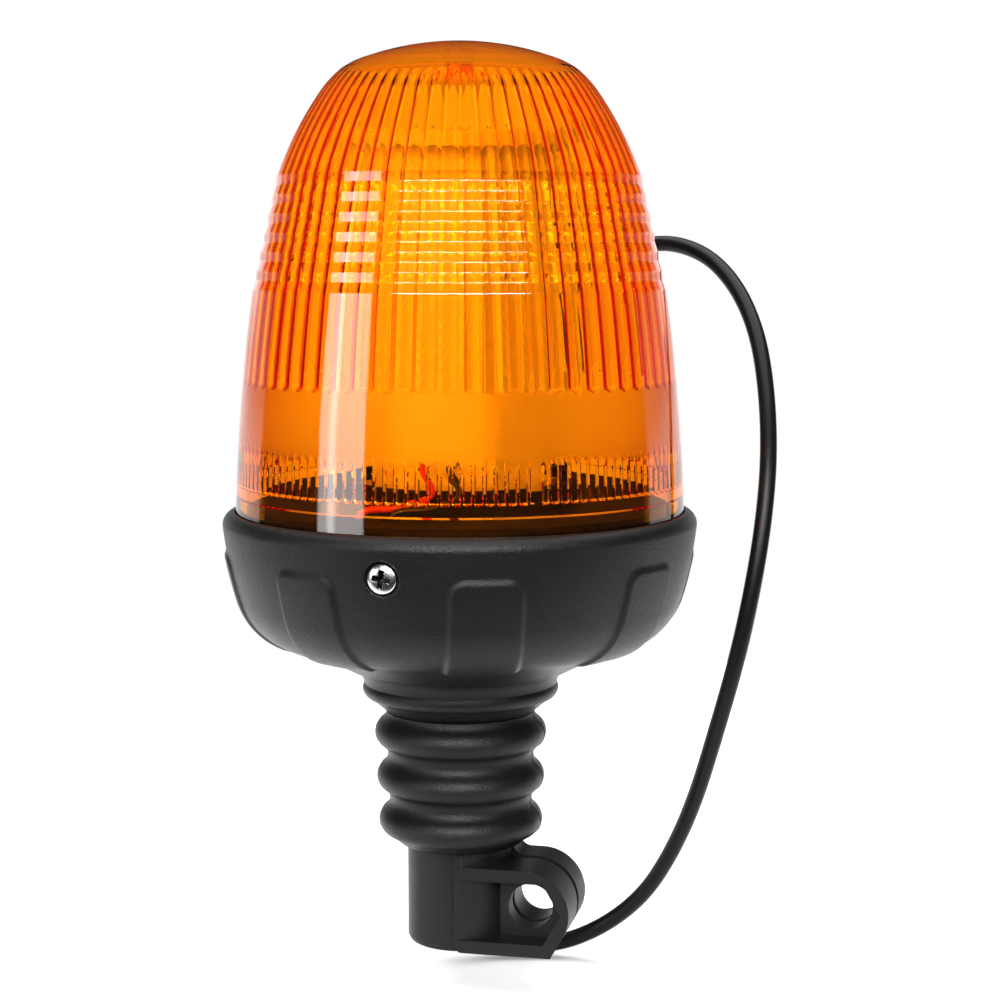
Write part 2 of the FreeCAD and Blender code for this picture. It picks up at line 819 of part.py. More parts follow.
def make_led_tower():
    """Hollow hexagonal column with a round foot and a closed top."""
    column = hexagon(tower_apothem, carrier_top, tower_top)
    foot = Part.makeCylinder(tower_foot_radius, tower_foot_plate, Vector(0, 0, carrier_top))
    hollow = hexagon(tower_apothem - tower_wall, carrier_top, tower_top - tower_wall)
    drills = [Part.makeCylinder(small_screw_radius + pin_gap, tower_foot_plate, Vector(x, y, carrier_top))
              for x, y in foot_screw_places()]
    drills.append(Part.makeCylinder(small_screw_radius + pin_gap, tower_wall,
                                    Vector(0, 0, tower_top - tower_wall)))
    return column.fuse(foot).cut([hollow] + drills).removeSplitter()


def side_angles():
    """Directions that the tower's sides face."""
    step = 360 / tower_sides
    return [step * (index + 0.5) for index in range(tower_sides)]


def make_led_board(angle):
    """Flat board on one side of the tower."""
    low = carrier_top + tower_foot_plate + led_board_lift
    high = tower_top - led_board_drop
    board = block(led_board_thickness, led_board_width, high - low,
                  tower_apothem + led_board_thickness / 2, 0, low)
    return clocked(board, angle)


def make_leds():
    """Light-emitting packages: square bodies with domed lenses, in a column on every board."""
    face = tower_apothem + led_board_thickness
    packages = []
    for angle in side_angles():
        for row in range(led_rows):
            height = tower_top - led_top_margin - row * led_pitch
            body = block(led_body, led_size, led_size, face + led_body / 2, 0, height - led_size / 2)
            dome = Part.makeSphere(led_dome_radius, Vector(face + led_body, 0, height), Vector(1, 0, 0), 0, 90)
            packages.append(clocked(body.fuse(dome), angle))
    return Part.makeCompound(packages)


def make_tower_cap():
    """Round cap on top of the tower."""
    edge = cap_edge_round * (1 - math.sqrt(0.5))
    high = tower_top + cap_thickness
    cap = turned(
        (0, tower_top),
        (cap_radius, tower_top),
        (cap_radius, high - cap_edge_round),
        ((cap_radius - edge, high - edge), (cap_radius - cap_edge_round, high)),
        (0, high),
    )
    return cap.cut(Part.makeCylinder(small_screw_radius + pin_gap, cap_thickness, Vector(0, 0, tower_top)))


def make_tower_screws():
    seat = carrier_top + tower_foot_plate
    return Part.makeCompound([small_screw(seat, x, y, DOWN) for x, y in foot_screw_places()])


def make_cap_screw():
    return small_screw(tower_top + cap_thickness, 0, 0, DOWN)


def make_driver_board():
    """Round circuit board hung under the carrier's posts."""
    board = Part.makeCylinder(board_radius, board_thickness, Vector(0, 0, board_bottom))
    drills = [Part.makeCylinder(small_screw_radius + pin_gap, board_thickness, Vector(x, y, board_bottom))
              for x, y in post_places()]
    return board.cut(drills)


def make_board_screws():
    return Part.makeCompound([small_screw(board_bottom, x, y, UP) for x, y in post_places()])


def make_choke():
    """Wound ring core lying on the underside of the driver board."""
    foot = Vector(*choke_place, board_bottom - choke_height)
    ring = Part.makeCylinder(choke_radius, choke_height, foot)
    hole = Part.makeCylinder(choke_hole, choke_height, foot)
    return ring.cut(hole)


def make_capacitors():
    """Two upright capacitors hanging from the driver board."""
    low = board_bottom - capacitor_height
    x, y = capacitor_place
    return Part.makeCompound([Part.makeCylinder(capacitor_radius, capacitor_height,
                                                Vector(x, y + side * capacitor_pitch / 2, low))
                              for side in (-1, 1)])


def make_driver_chip():
    return block(chip_size, chip_size, chip_height, *chip_place, board_bottom - chip_height)


def terminal_place():
    """Middle of the terminal block, above the cable's inner end and nearer the axis."""
    scale = 1 - terminal_inset / math.hypot(exit_x, exit_y)
    return exit_x * scale, exit_y * scale


def make_terminal_block():
    """Two-way terminal block on the driver board."""
    x, y = terminal_place()
    body = block(terminal_length, terminal_width, terminal_height, x, y, board_bottom - terminal_height)
    holes = [Part.makeCylinder(wire_radius + cable_gap, terminal_height / 2,
                               Vector(x + side * terminal_length / 4, y, board_bottom - terminal_height))
             for side in (-1, 1)]
    return body.cut(holes)


def make_supply_lead(side):
    """Insulated lead from the cable's inner end up into the terminal block."""
    x, y = terminal_place()
    x += side * terminal_length / 4
    foot = (exit_x + side * (wire_radius + cable_gap), exit_y, cable_inner_end)
    into = board_bottom - terminal_height / 2
    mouth = board_bottom - terminal_height
    rise = mouth - cable_inner_end
    return route_tube([foot,
                       (foot[0], foot[1], cable_inner_end + 0.35 * rise),
                       (x, y, mouth - 0.35 * rise),
                       (x, y, into)], wire_radius)


def wire_route(side):
    """Route of a tower lead: up through the carrier, along its top and to the foot of a board."""
    angle = wire_hole_angle + wire_hole_spread * (side + 1) / 2
    start = polar(wire_ring, angle)
    bend = polar(wire_ring - wire_lift, angle + wire_sweep)
    near = polar(wire_ring - wire_inset, angle + wire_sweep + wire_turn)
    board_face = -tower_apothem - led_board_thickness
    x = side * wire_board_spread / 2
    board_low = carrier_top + tower_foot_plate + led_board_lift
    return [
        (*start, carrier_top - 2 * carrier_plate),
        (*start, carrier_top + wire_lift),
        (*bend, carrier_top + 1.4 * wire_lift),
        (*near, carrier_top + 2 * wire_lift),
        (x, board_face - wire_stand, board_low + wire_joint_height),
        (x, board_face, board_low + wire_joint_height),
    ]


def make_tower_lead(side):
    return route_tube(wire_route(side), wire_radius)


def make_cable_grommet():
    """Tapered rubber grommet with a flange on both sides of the cup's boss."""
    low = cable_boss_bottom
    high = cable_boss_top
    bore = cable_radius + cable_gap
    sleeve = turned(
        (bore, low - grommet_tail),
        (grommet_tail_radius, low - grommet_tail),
        (grommet_neck_radius, low - grommet_flange),
        (grommet_flange_radius, low - grommet_flange),
        (grommet_flange_radius, low),
        (grommet_neck_radius, low),
        (grommet_neck_radius, high),
        (grommet_flange_radius, high),
        (grommet_flange_radius, high + grommet_flange / 2),
        (bore, high + grommet_flange / 2),
    )
    return placed(sleeve, exit_x, exit_y, 0)


def make_cable_tie():
    """Nylon tie pulled tight round the cable above the grommet, so that a tug can't pull the cable out."""
    low = cable_boss_top + grommet_flange / 2
    inner = cable_radius + pin_gap
    band = Part.makeCylinder(inner + tie_thickness, tie_height, Vector(exit_x, exit_y, low))
    head = block(tie_head, tie_head, tie_height, exit_x + inner + tie_head / 2, exit_y, low)
    bore = Part.makeCylinder(inner, tie_height, Vector(exit_x, exit_y, low))
    return band.fuse(head).cut(bore).removeSplitter()


def core_end(side):
    """Foot of one core on the cable's far end face."""
    across = far_direction().cross(Vector(0, 1, 0))
    across.normalize()
    return Vector(*cable_route[-1]) + across * side * (core_radius + cable_gap)


def far_direction():
    last = Vector(*cable_route[-1])
    before = Vector(*cable_route[-2])
    direction = last - before
    direction.normalize()
    return direction


def make_core(side):
    """Insulated core that stands out of the cable's far end."""
    return Part.makeCylinder(core_radius, core_length, core_end(side), far_direction())


def make_core_tips():
    """Bare copper ends of the two cores."""
    direction = far_direction()
    tips = []
    for side in (-1, 1):
        foot = core_end(side) + direction * core_length
        tips.append(Part.makeCylinder(core_tip_radius, core_tip_length, foot, direction))
    return Part.makeCompound(tips)


def save(name, shape):
    if not shape.isValid() or shape.Volume <= 0:
        raise RuntimeError(name + " is not a sound solid")
    print(name, "solids", len(shape.Solids), "volume", round(shape.Volume, 1))
    shape.exportStep("parts/" + name + ".step")


os.makedirs("parts", exist_ok=True)
save("pole_socket", make_pole_socket())
save("neck_bellows", make_neck_bellows())
save("rubber_cup", make_rubber_cup())
save("lens_dome", make_lens_dome())
save("lens_gasket", make_lens_gasket())
save("base_carrier", make_carrier())
save("cup_screws", make_cup_screws())
save("screw_inserts", make_screw_inserts())
save("led_tower", make_led_tower())
for number, facing in enumerate(side_angles(), 1):
    save("led_board_" + str(number), make_led_board(facing))
save("leds", make_leds())
save("tower_cap", make_tower_cap())
save("tower_screws", make_tower_screws())
save("cap_screw", make_cap_screw())
save("driver_board", make_driver_board())
save("board_screws", make_board_screws())
save("driver_choke", make_choke())
save("driver_capacitors", make_capacitors())
save("driver_chip", make_driver_chip())
save("terminal_block", make_terminal_block())
save("supply_lead_red", make_supply_lead(-1))
save("supply_lead_black", make_supply_lead(1))
save("tower_lead_red", make_tower_lead(-1))
save("tower_lead_black", make_tower_lead(1))
save("cable_grommet", make_cable_grommet())
save("cable_tie", make_cable_tie())
save("supply_cable", route_tube(cable_route, cable_radius, "supply cable"))
save("cable_core_red", make_core(-1))
save("cable_core_black", make_core(1))
save("cable_core_tips", make_core_tips())
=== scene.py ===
import json
import math

import bmesh
import bpy
import numpy as np
from bpy.props import FloatProperty, FloatVectorProperty, IntProperty, PointerProperty
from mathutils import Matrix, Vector


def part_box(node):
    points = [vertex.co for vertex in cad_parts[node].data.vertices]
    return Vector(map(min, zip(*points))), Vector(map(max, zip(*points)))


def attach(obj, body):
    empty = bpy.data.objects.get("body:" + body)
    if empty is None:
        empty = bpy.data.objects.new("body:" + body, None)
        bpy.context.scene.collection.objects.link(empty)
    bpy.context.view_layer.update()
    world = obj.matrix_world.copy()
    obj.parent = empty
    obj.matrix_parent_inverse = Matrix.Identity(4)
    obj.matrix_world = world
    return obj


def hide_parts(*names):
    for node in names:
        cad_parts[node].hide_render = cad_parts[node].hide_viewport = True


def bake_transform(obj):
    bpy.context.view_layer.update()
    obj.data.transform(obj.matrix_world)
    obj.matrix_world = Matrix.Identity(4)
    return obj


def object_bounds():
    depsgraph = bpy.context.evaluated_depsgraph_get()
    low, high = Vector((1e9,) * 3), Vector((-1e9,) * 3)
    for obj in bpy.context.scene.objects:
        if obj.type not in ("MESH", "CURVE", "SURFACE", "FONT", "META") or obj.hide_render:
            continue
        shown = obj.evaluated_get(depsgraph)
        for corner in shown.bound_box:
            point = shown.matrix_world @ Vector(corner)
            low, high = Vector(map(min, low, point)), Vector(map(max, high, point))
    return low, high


bpy.ops.wm.read_factory_settings(use_empty=True)
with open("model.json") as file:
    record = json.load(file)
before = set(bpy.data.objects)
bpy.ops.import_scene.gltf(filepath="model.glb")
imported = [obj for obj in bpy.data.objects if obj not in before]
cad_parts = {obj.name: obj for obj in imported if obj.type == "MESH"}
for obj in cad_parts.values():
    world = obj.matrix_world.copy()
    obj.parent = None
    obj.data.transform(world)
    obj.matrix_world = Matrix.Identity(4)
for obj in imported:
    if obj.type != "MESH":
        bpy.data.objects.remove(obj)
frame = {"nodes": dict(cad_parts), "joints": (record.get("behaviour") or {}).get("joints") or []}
CAD_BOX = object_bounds()

bl_info = {
    "name": "Pole Beacon Dressing",
    "version": (1, 0, 0),
    "blender": (4, 5, 0),
    "location": "3D View > Sidebar > Beacon",
    "description": "Builds the lens, rubber, socket, cable and finishes of an amber pole beacon",
    "category": "Object",
}

MM = 0.001
IMAGE_PIXELS = 1000
SENSOR_WIDTH = 36.0

# Places read from the frame, in millimetres
CUP_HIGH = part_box("rubber_cup")[1] / MM
LENS_LOW, LENS_HIGH = (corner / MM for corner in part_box("lens_dome"))
NECK_LOW, NECK_HIGH = (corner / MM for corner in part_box("neck_bellows"))
SCREW_LOW, SCREW_HIGH = (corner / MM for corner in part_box("cup_screws"))
GROMMET_LOW, GROMMET_HIGH = (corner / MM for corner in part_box("cable_grommet"))
NECK_TOP = NECK_HIGH.z
LIP_TOP = CUP_HIGH.z
LENS_RADIUS = (LENS_HIGH.x - LENS_LOW.x) / 2
SCREW_HEIGHT = (SCREW_LOW.z + SCREW_HIGH.z) / 2

# The head is clocked so that its two screws lie on this line
HEAD_ANGLE = math.radians(-94.7)
EAR_ANGLE = 0.0

# Lens, as steps from its seat in the cup
LENS_WALL = 3.0
SKIN_SHARE = 0.4
LENS_SEAT = LIP_TOP - 2.7
LENS_SKIRT_RADIUS = LENS_RADIUS - 0.6
LENS_MIDDLE = (LENS_RADIUS - 2.2, LENS_SEAT + 36.7)
PRISM_LOW = (LENS_RADIUS - 6.3, LENS_SEAT + 71.1)
PRISM_COUNT = 6
PRISM_PITCH = 5.82
PRISM_STEP = 1.05
PRISM_DRAFT = 0.2
PRISM_EDGE = 0.19
PRISM_HOLLOW_BULGE = 0.3
PRISM_HIGH = (PRISM_LOW[0] - PRISM_COUNT * (PRISM_STEP + PRISM_DRAFT),
              PRISM_LOW[1] + PRISM_COUNT * PRISM_PITCH)
DOME_BULGE = (PRISM_HIGH[0] - 7.6, PRISM_HIGH[1] + 16.4)
DOME_END = (PRISM_HIGH[0] - 16.8, PRISM_HIGH[1] + 30.2)
CROWN_EDGE = (DOME_END[0] - 10.2, DOME_END[1] + 6.1)
CROWN_TOP = LENS_HIGH.z
CROWN_BEND = (DOME_END[0] - 4.3, DOME_END[1] + 3.3)
LENS_COLUMNS = 264
COMBS_PER_FLUTE = 2
COMB_PLACES = (-0.5, -0.4, -0.28, 0.0, 0.28, 0.4)
COMB_RISE = 0.8
FLUTE_ROUND = 0.95
FLUTE_SHARE = 0.78
FLUTE_FOOT = LENS_SEAT + 41.6
FLUTE_END_RADIUS = 37.0
FLUTE_FADE = 7.0
COMB_FOOT = LIP_TOP + 7.4
COMB_TIP = LIP_TOP + 21.5
COMB_GAP_ANGLE = math.radians(-57.3)
SKIRT_LINE = LIP_TOP + 3.8
SKIRT_STEP = 0.7
STUB_RADIUS = 4.6
STUB_WALL = 1.6
STUB_SLOPE = 0.05
STUB_DROP = 9.7
FROST_FADE_LOW = 2.0
FROST_FADE_HIGH = 3.0
LENS_CREASE = 14.0

# Points on the lens profiles: dense arcs, the corner that rounds two of them, and the rows kept
WALL_POINTS = 201
WALL_EVERY = 8
ARC_POINTS = 120
DOME_TRIM = 17
SHOULDER_TRIM = 45
CORNER_POINTS = 40
DOME_FIRST_ROW = 7
DOME_ROWS = 32
SMOOTH_REACH = 15
RISING_POINTS = 300

# Rubber cup, as steps up from the neck
COLLAR_RADIUS = 31.3
COLLAR_FLANK = (COLLAR_RADIUS - 2.4, NECK_TOP + 4.3)
COLLAR_CREST = (COLLAR_RADIUS, NECK_TOP + 6.7)
COLLAR_WAIST = (COLLAR_RADIUS - 0.5, NECK_TOP + 9.0)
COLLAR_BEND = (COLLAR_RADIUS + 1.2, NECK_TOP + 12.4)
COLLAR_TOP = NECK_TOP + 9.5
CONE_TOP = (36.0, COLLAR_TOP + 4.7)
FLOOR_EDGE = (56.2, CONE_TOP[1] + 8.25)
CUP_RADIUS = LENS_RADIUS + 4.1
CUP_CORNER = (CUP_RADIUS - 4.8, FLOOR_EDGE[1] + 14.5)
CORNER_BEND = (CUP_CORNER[0] - 4.8, FLOOR_EDGE[1] + 6.0)
CUP_WIDEST = (CUP_RADIUS, CUP_CORNER[1] + 23.55)
SURFACE_BULGE = 0.6
LIP_ROUND = 3.1
LIP_CORNER = 1.15
LIP_RIDGE = LIP_TOP - 1.0
LENS_GAP = 0.3
CUP_BORE = LENS_SKIRT_RADIUS + LENS_GAP
CUP_SHOULDER = LIP_TOP - 22.7
CUP_WALL = 4.3
FLOOR_WALL = 5.0
NECK_BORE = 17.5
CUP_COLUMNS = 720
WALL_STEP = 0.65
PATCH_CELLS = 24
PAD_COUNT = 8
PAD_WIDTH = 21.5
PAD_TOP = LIP_TOP - 13.6
PAD_INNER_RADIUS = 52.5
PAD_TURN = math.radians(1.5)
PAD_CORNER = 4.5
COUNTERBORE_RADIUS = 5.15
COUNTERBORE_FLOOR = CUP_BORE + 1.5
COUNTERBORE_MARGIN = 0.7
MARGIN_SHARES = (0.3, 0.6, 0.85, 1.0)
BORE_EDGE_STEPS = ((0.35, 0.06), (0.12, 0.22), (0.0, 0.6))
BORE_FLOOR_STEPS = ((0.0, 0.3), (-0.3, 0.0), (-2.5, 0.0))
RUBBER_GRAIN = 0.00045
RUBBER_CREASE = 40.0
BOSS_RADIUS = 11.0
BOSS_COLUMNS = 72
BOSS_BORE = 6.3
BOSS_EDGE = 0.8
BOSS_FOOT = GROMMET_LOW.z + 22.0
BOSS_TOP = GROMMET_HIGH.z - 2.0

# Rubber neck
RING_COUNT = 3
RING_RADIUS = 27.5
RING_TAPER = 0.6
RING_PITCH = 14.3
RING_FIRST = 7.2
CREST_ROUND = 4.9
VALLEY_ROUND = 3.8
NECK_FOOT_RADIUS = 19.7
NECK_GRIP_RADIUS = 17.1
NECK_FOOT_TURN = math.radians(-75)
NECK_COLUMNS = 240
CREST_ROWS = 22
VALLEY_ROWS = 16
SEAM_WIDTH = 0.35
SEAM_NEAR = (0.004, 0.008, 0.013, 0.02)
NECK_CREASE = 50.0

# Clamp socket: clean-up of the CAD mesh, with angles in degrees
WELD_DISTANCE = 0.002
FLAT_ANGLE = 0.5
SOCKET_CREASE = 30.0
BEVEL_ANGLE = 35.0

# Cup screws
HEAD_RADIUS = 4.5
HEAD_HEIGHT = 2.5
HEAD_DOME = 0.9
SHANK_RADIUS = 2.45
SHANK_LENGTH = 13.0
RECESS_REACH = 2.75
RECESS_HALF = 0.7
RECESS_DEPTH = 2.1
RECESS_EDGE = 0.3
RECESS_TAPER = 0.35
HEAD_COLUMNS = 96
HEAD_ROWS = 30
HEAD_EDGE = np.array([(0.25, 0.95), (0.06, 1.15), (0.0, 1.4)])
SCREW_TWIST = math.radians(-8)

# Route of the supply cable, as in the part's source
CABLE_ROUTE = [
    (-15.5, 48.0, 108.0),
    (-15.5, 48.0, 79.5),
    (-15.7, 48.1, 50.0),
    (-17.6, 48.3, 25.5),
    (-18.5, 47.7, 8.5),
    (-13.5, 48.5, -4.5),
    (-4.5, 50.5, -14.0),
    (7.5, 53.0, -19.2),
    (21.5, 56.0, -19.0),
    (37.0, 56.0, -12.0),
    (51.5, 51.0, 1.0),
    (61.5, 44.5, 17.0),
    (71.0, 36.0, 38.5),
    (79.0, 28.0, 65.0),
    (86.0, 23.0, 90.0),
    (90.5, 23.5, 112.0),
    (93.5, 28.0, 133.5),
    (94.5, 35.5, 155.5),
    (92.0, 48.5, 177.5),
    (87.0, 63.5, 195.5),
    (78.0, 79.0, 210.5),
    (65.5, 92.5, 221.0),
    (48.5, 102.0, 225.0),
    (31.0, 108.0, 219.0),
    (20.0, 112.0, 205.5),
    (15.5, 113.5, 188.0),
    (13.5, 113.0, 160.0),
    (14.0, 111.0, 132.0),
]
CABLE_DIAMETER = 0.0055

# Studio, in degrees: round from the camera's side, with the right positive, and up from the horizon
STRIP_AROUND = (-74.5, -48)
STRIP_CORE = (-68.5, -64.5)
STRIP_HEIGHT = (-6, 18)
FRONT_AROUND = (-36, 40)
FRONT_HEIGHT = (19, 23.5)
OPEN_AROUND = (-121, 112)
BACKDROP_HEIGHT = (-91, 6)
RIGHT_FLAG = (100, 155)
RIGHT_RIM = (155, 175)
LEFT_RIM = (-175, -117)
BELOW_FLAGS = (-91, -1)
FLAG_SHADE = 0.65
RIM_SHADE = 0.55
OUTSIDE_GLOW = (-145, 145)
GLOW_HEIGHT = (1, 9)

# Soft lights: place, width and height, in metres
FRONT_FILL = ((-0.45, -1.1, 0.8), 2.0, 1.2)
TOP_FILL = ((0.0, 0.1, 1.3), 1.6, 1.6)
BROW_FILL = ((0.15, -0.95, 0.75), 0.8, 0.25)
FILL_AIM = Vector((0, 0, 0.17))
OUTSIDE_PIECES = ("cup", "cable_boss", "neck_lower_rings", "neck_upper_rings", "socket", "supply_cord",
                  "cup_screw_pair")


class Field:
    """One output of a node tree. Arithmetic on it adds Math nodes, and node() adds any other node."""

    def __init__(self, tree, socket):
        self.tree = tree
        self.socket = socket

    def node(self, kind, settings=None, sockets=None, output=0):
        """Adds a node: its settings are set first, then its sockets get their values or links."""
        made = self.tree.nodes.new(kind)
        for name, value in (settings or {}).items():
            if name == "stops":
                set_stops(made.color_ramp, value)
            else:
                setattr(made, name, value)
        for name, value in (sockets or {}).items():
            feed(made, name, value)
        return Field(self.tree, made.outputs[output])

    def maths(self, operation, first, second):
        return self.node("ShaderNodeMath", {"operation": operation}, {0: first, 1: second})

    def __add__(self, other):
        return self.maths("ADD", self, other)

    def __mul__(self, other):
        return self.maths("MULTIPLY", self, other)

    def __rsub__(self, other):
        return self.maths("SUBTRACT", other, self)

    __radd__ = __add__
    __rmul__ = __mul__


def set_stops(ramp, stops):
    """Gives a colour ramp its stops, each a place and a colour."""
    while len(ramp.elements) < len(stops):
        ramp.elements.new(1.0)
    for element, (place, colour) in zip(ramp.elements, stops):
        element.position = place
        element.color = (*colour, 1.0)


def feed(node, name, value):
    """Links a field to a socket, or sets a plain value on it."""
    socket = node.inputs[name]
    if isinstance(value, Field):
        value.tree.links.new(value.socket, socket)
    else:
        socket.default_value = value


def rgba(colour):
    return (*colour, 1.0)


def scaled(colour, factor):
    return tuple(factor * channel for channel in colour)


def new_finish(name):
    """An empty finish: its material, its surface shader and the object coordinates that patterns read."""
    material = bpy.data.materials.new(name)
    material.use_nodes = True
    tree = material.node_tree
    place = Field(tree, tree.nodes.new("ShaderNodeTexCoord").outputs["Object"])
    return material, tree.nodes["Principled BSDF"], place


def noise(place, size, detail=3.0, roughness=0.5):
    """Noise from 0 to 1 whose lumps are about the given size, in metres."""
    return place.node("ShaderNodeTexNoise", {"noise_dimensions": "3D"},
                      {"Vector": place, "Scale": 1 / size, "Detail": detail, "Roughness": roughness})


def bump(place, height, depth, strength=1.0):
    """Surface relief from a height field, with its full depth in metres."""
    sockets = {"Strength": strength, "Distance": depth, "Height": height}
    return place.node("ShaderNodeBump", None, sockets, "Normal")


def shade_mix(place, factor, dark, light):
    """Colour between two colours, by a factor from 0 to 1. The numbers are the mix node's colour sockets."""
    return place.node("ShaderNodeMix", {"data_type": "RGBA"}, {0: factor, 6: rgba(dark), 7: rgba(light)}, 2)


def stored(place, name):
    """A number that the mesh holds for each point."""
    return place.node("ShaderNodeAttribute", {"attribute_name": name}, None, "Fac")


def amber_finish(colour):
    """Clear amber moulding: polished, with a frost attribute on the plain band inside and faint flow waves.

    One wall lets the colour c through: c^s at its two faces and the rest by depth, as exp(-k d) with
    k = -(1 - s) ln(c) / wall.
    """
    material, surface, place = new_finish("amber_polycarbonate")
    skin = tuple(channel ** SKIN_SHARE for channel in colour)
    fading = [-(1 - SKIN_SHARE) * math.log(channel) / (LENS_WALL * MM) for channel in colour]
    density = max(fading)
    depth = place.node("ShaderNodeVolumeAbsorption", None,
                       {"Color": rgba(1 - share / density for share in fading), "Density": density})
    feed(material.node_tree.nodes["Material Output"], "Volume", depth)
    waves = noise(place, 0.016, 1.0)
    feed(surface, "Base Color", rgba(skin))
    feed(surface, "Transmission Weight", 1.0)
    feed(surface, "IOR", 1.56)
    feed(surface, "Roughness", 0.012 + 0.014 * waves + 0.33 * stored(place, "frost"))
    feed(surface, "Normal", bump(place, waves, 0.0002, 0.25))
    return material


def rubber_finish(name, colour, grain):
    """Matte moulded rubber: fine spark-eroded grain, cloudy sheen and a little bloom in the colour."""
    material, surface, place = new_finish(name)
    cloud = noise(place, 0.018, 4.0)
    fine = noise(place, grain, 2.0)
    feed(surface, "Base Color", shade_mix(place, cloud, colour, scaled(colour, 1.7)))
    feed(surface, "Roughness", 0.27 + 0.1 * cloud + 0.1 * fine)
    feed(surface, "Normal", bump(place, fine + 0.5 * noise(place, 4 * grain, 2.0), 0.0003, 0.6))
    feed(surface, "Specular IOR Level", 0.15)
    return material


def plastic_finish(name, colour, gloss, grain=0.0006, shine=0.5):
    """Moulded plastic: even colour with a slight drift, a satin sheen that varies and a faint skin."""
    material, surface, place = new_finish(name)
    drift = noise(place, 0.02, 3.0)
    skin = noise(place, grain, 2.0)
    feed(surface, "Base Color", shade_mix(place, drift, scaled(colour, 0.86), scaled(colour, 1.12)))
    feed(surface, "Roughness", gloss - 0.05 + 0.1 * drift)
    feed(surface, "Normal", bump(place, skin, 0.00008, 0.25))
    feed(surface, "Specular IOR Level", shine)
    return material


def metal_finish(name, colour, gloss):
    """Bright metal with fine turning marks, and painted shade: a near-black colour where a recess attribute
    says so.
    """
    material, surface, place = new_finish(name)
    marks = noise(place, 0.0004, 2.0)
    # Painted shade: the colour is darkened inside the screws' cross recesses, where shade falls
    light = (0.8 + 0.2 * marks) * (1 - stored(place, "recess"))
    feed(surface, "Base Color", shade_mix(place, light, (0.008, 0.008, 0.008), colour))
    feed(surface, "Roughness", gloss + 0.12 * marks)
    feed(surface, "Metallic", 1.0)
    feed(surface, "Normal", bump(place, marks, 0.00002, 0.3))
    return material


def board_finish(name, colour, trace):
    """Circuit board: solder mask over straight copper tracks."""
    material, surface, place = new_finish(name)
    tracks = place.node("ShaderNodeTexWave", {"wave_type": "BANDS", "bands_direction": "DIAGONAL"},
                        {"Vector": place, "Scale": 160.0, "Distortion": 2.0, "Detail": 0.0}, "Fac")
    stops = [(0.55, (0, 0, 0)), (0.62, (1, 1, 1))]
    lines = place.node("ShaderNodeValToRGB", {"stops": stops}, {"Fac": tracks})
    feed(surface, "Base Color", shade_mix(place, lines, colour, trace))
    feed(surface, "Roughness", 0.32 + 0.1 * noise(place, 0.002))
    feed(surface, "Normal", bump(place, lines, 0.00004, 0.5))
    return material


def phosphor_finish(colour):
    """Yellow phosphor under clear resin, with a faint painted glow."""
    material, surface, place = new_finish("led_phosphor")
    grains = noise(place, 0.0003, 2.0)
    feed(surface, "Base Color", shade_mix(place, grains, scaled(colour, 0.85), colour))
    feed(surface, "Roughness", 0.12 + 0.1 * grains)
    feed(surface, "Coat Weight", 0.6)
    # Painted glow: the phosphor gives off faint yellow light, though the beacon is not lit from inside
    feed(surface, "Emission Color", rgba(colour))
    feed(surface, "Emission Strength", 0.7)
    return material


def arc(first, middle, last, count):
    """Points at even angles on the circle through three points: its centre lies on both chords' bisectors."""
    points = np.array([first, middle, last], float)
    squares = (points ** 2).sum(1)
    chords = 2 * (points[1:] - points[:-1])
    centre = np.linalg.solve(chords, squares[1:] - squares[:-1])
    spokes = points - centre
    turns = np.unwrap(np.arctan2(spokes[:, 1], spokes[:, 0]))
    angles = np.linspace(turns[0], turns[2], count)
    reach = np.hypot(*spokes[0])
    return centre + reach * np.column_stack([np.cos(angles), np.sin(angles)])


def run(first, last, count=2):
    """Points on a straight line, evenly spaced."""
    return np.linspace(first, last, count)


def outline(*pieces):
    """One profile from pieces that start where the last one ended."""
    return np.vstack([pieces[0]] + [piece[1:] for piece in pieces[1:]])


def path_length(profile):
    """Distance along a profile at each of its points."""
    steps = np.hypot(*np.diff(profile, axis=0).T)
    return np.concatenate([[0.0], np.cumsum(steps)])


def normals(profile):
    """Unit normals of a profile, on the right-hand side of its direction."""
    ahead = np.gradient(profile, axis=0)
    ahead /= np.hypot(*ahead.T)[:, None]
    return np.column_stack([ahead[:, 1], -ahead[:, 0]])


def full_turn(count):
    """Even angles once round, as one row."""
    return np.linspace(0, 2 * math.pi, count, endpoint=False)[None, :]


def turn(radius, height, angles):
    """Surface of revolution: radius and height, one row each, carried round the axis by the angles."""
    radius, height, angles = np.broadcast_arrays(radius, height, angles)
    return np.stack([radius * np.cos(angles), radius * np.sin(angles), height], axis=-1)


def grid_faces(rows, columns, first=0, closed=False):
    """Quads of a grid that is closed round its columns, and round its rows too if closed."""
    low = np.arange(rows if closed else rows - 1)[:, None] * columns
    high = (low + columns) % (rows * columns) if closed else low + columns
    here = np.arange(columns)[None, :]
    following = (here + 1) % columns
    quads = np.stack([low + here, low + following, high + following, high + here], axis=-1)
    return first + quads.reshape(-1, 4)


def ring_faces(lower, upper):
    """Quads between two loops of vertex numbers of equal length."""
    return np.stack([lower, np.roll(lower, -1), np.roll(upper, -1), upper], axis=-1)


def fan_faces(loop, middle):
    """Triangles from a loop of vertex numbers to one middle vertex."""
    return np.stack([loop, np.roll(loop, -1), np.full_like(loop, middle)], axis=-1)


def smoothstep(low, high, value):
    """Smooth rise from 0 at low to 1 at high: 3t^2 - 2t^3."""
    share = np.clip((value - low) / (high - low), 0, 1)
    return share * share * (3 - 2 * share)


def add_object(name, data):
    """Object in the scene that shows a mesh, curve, light or camera."""
    made = bpy.data.objects.new(name, data)
    bpy.context.scene.collection.objects.link(made)
    return made


def shade_smooth(mesh, crease_angle):
    """Makes a mesh look smooth but for edges sharper than an angle in degrees."""
    mesh.polygons.foreach_set("use_smooth", np.ones(len(mesh.polygons), bool))
    mesh.set_sharp_from_angle(angle=math.radians(crease_angle))


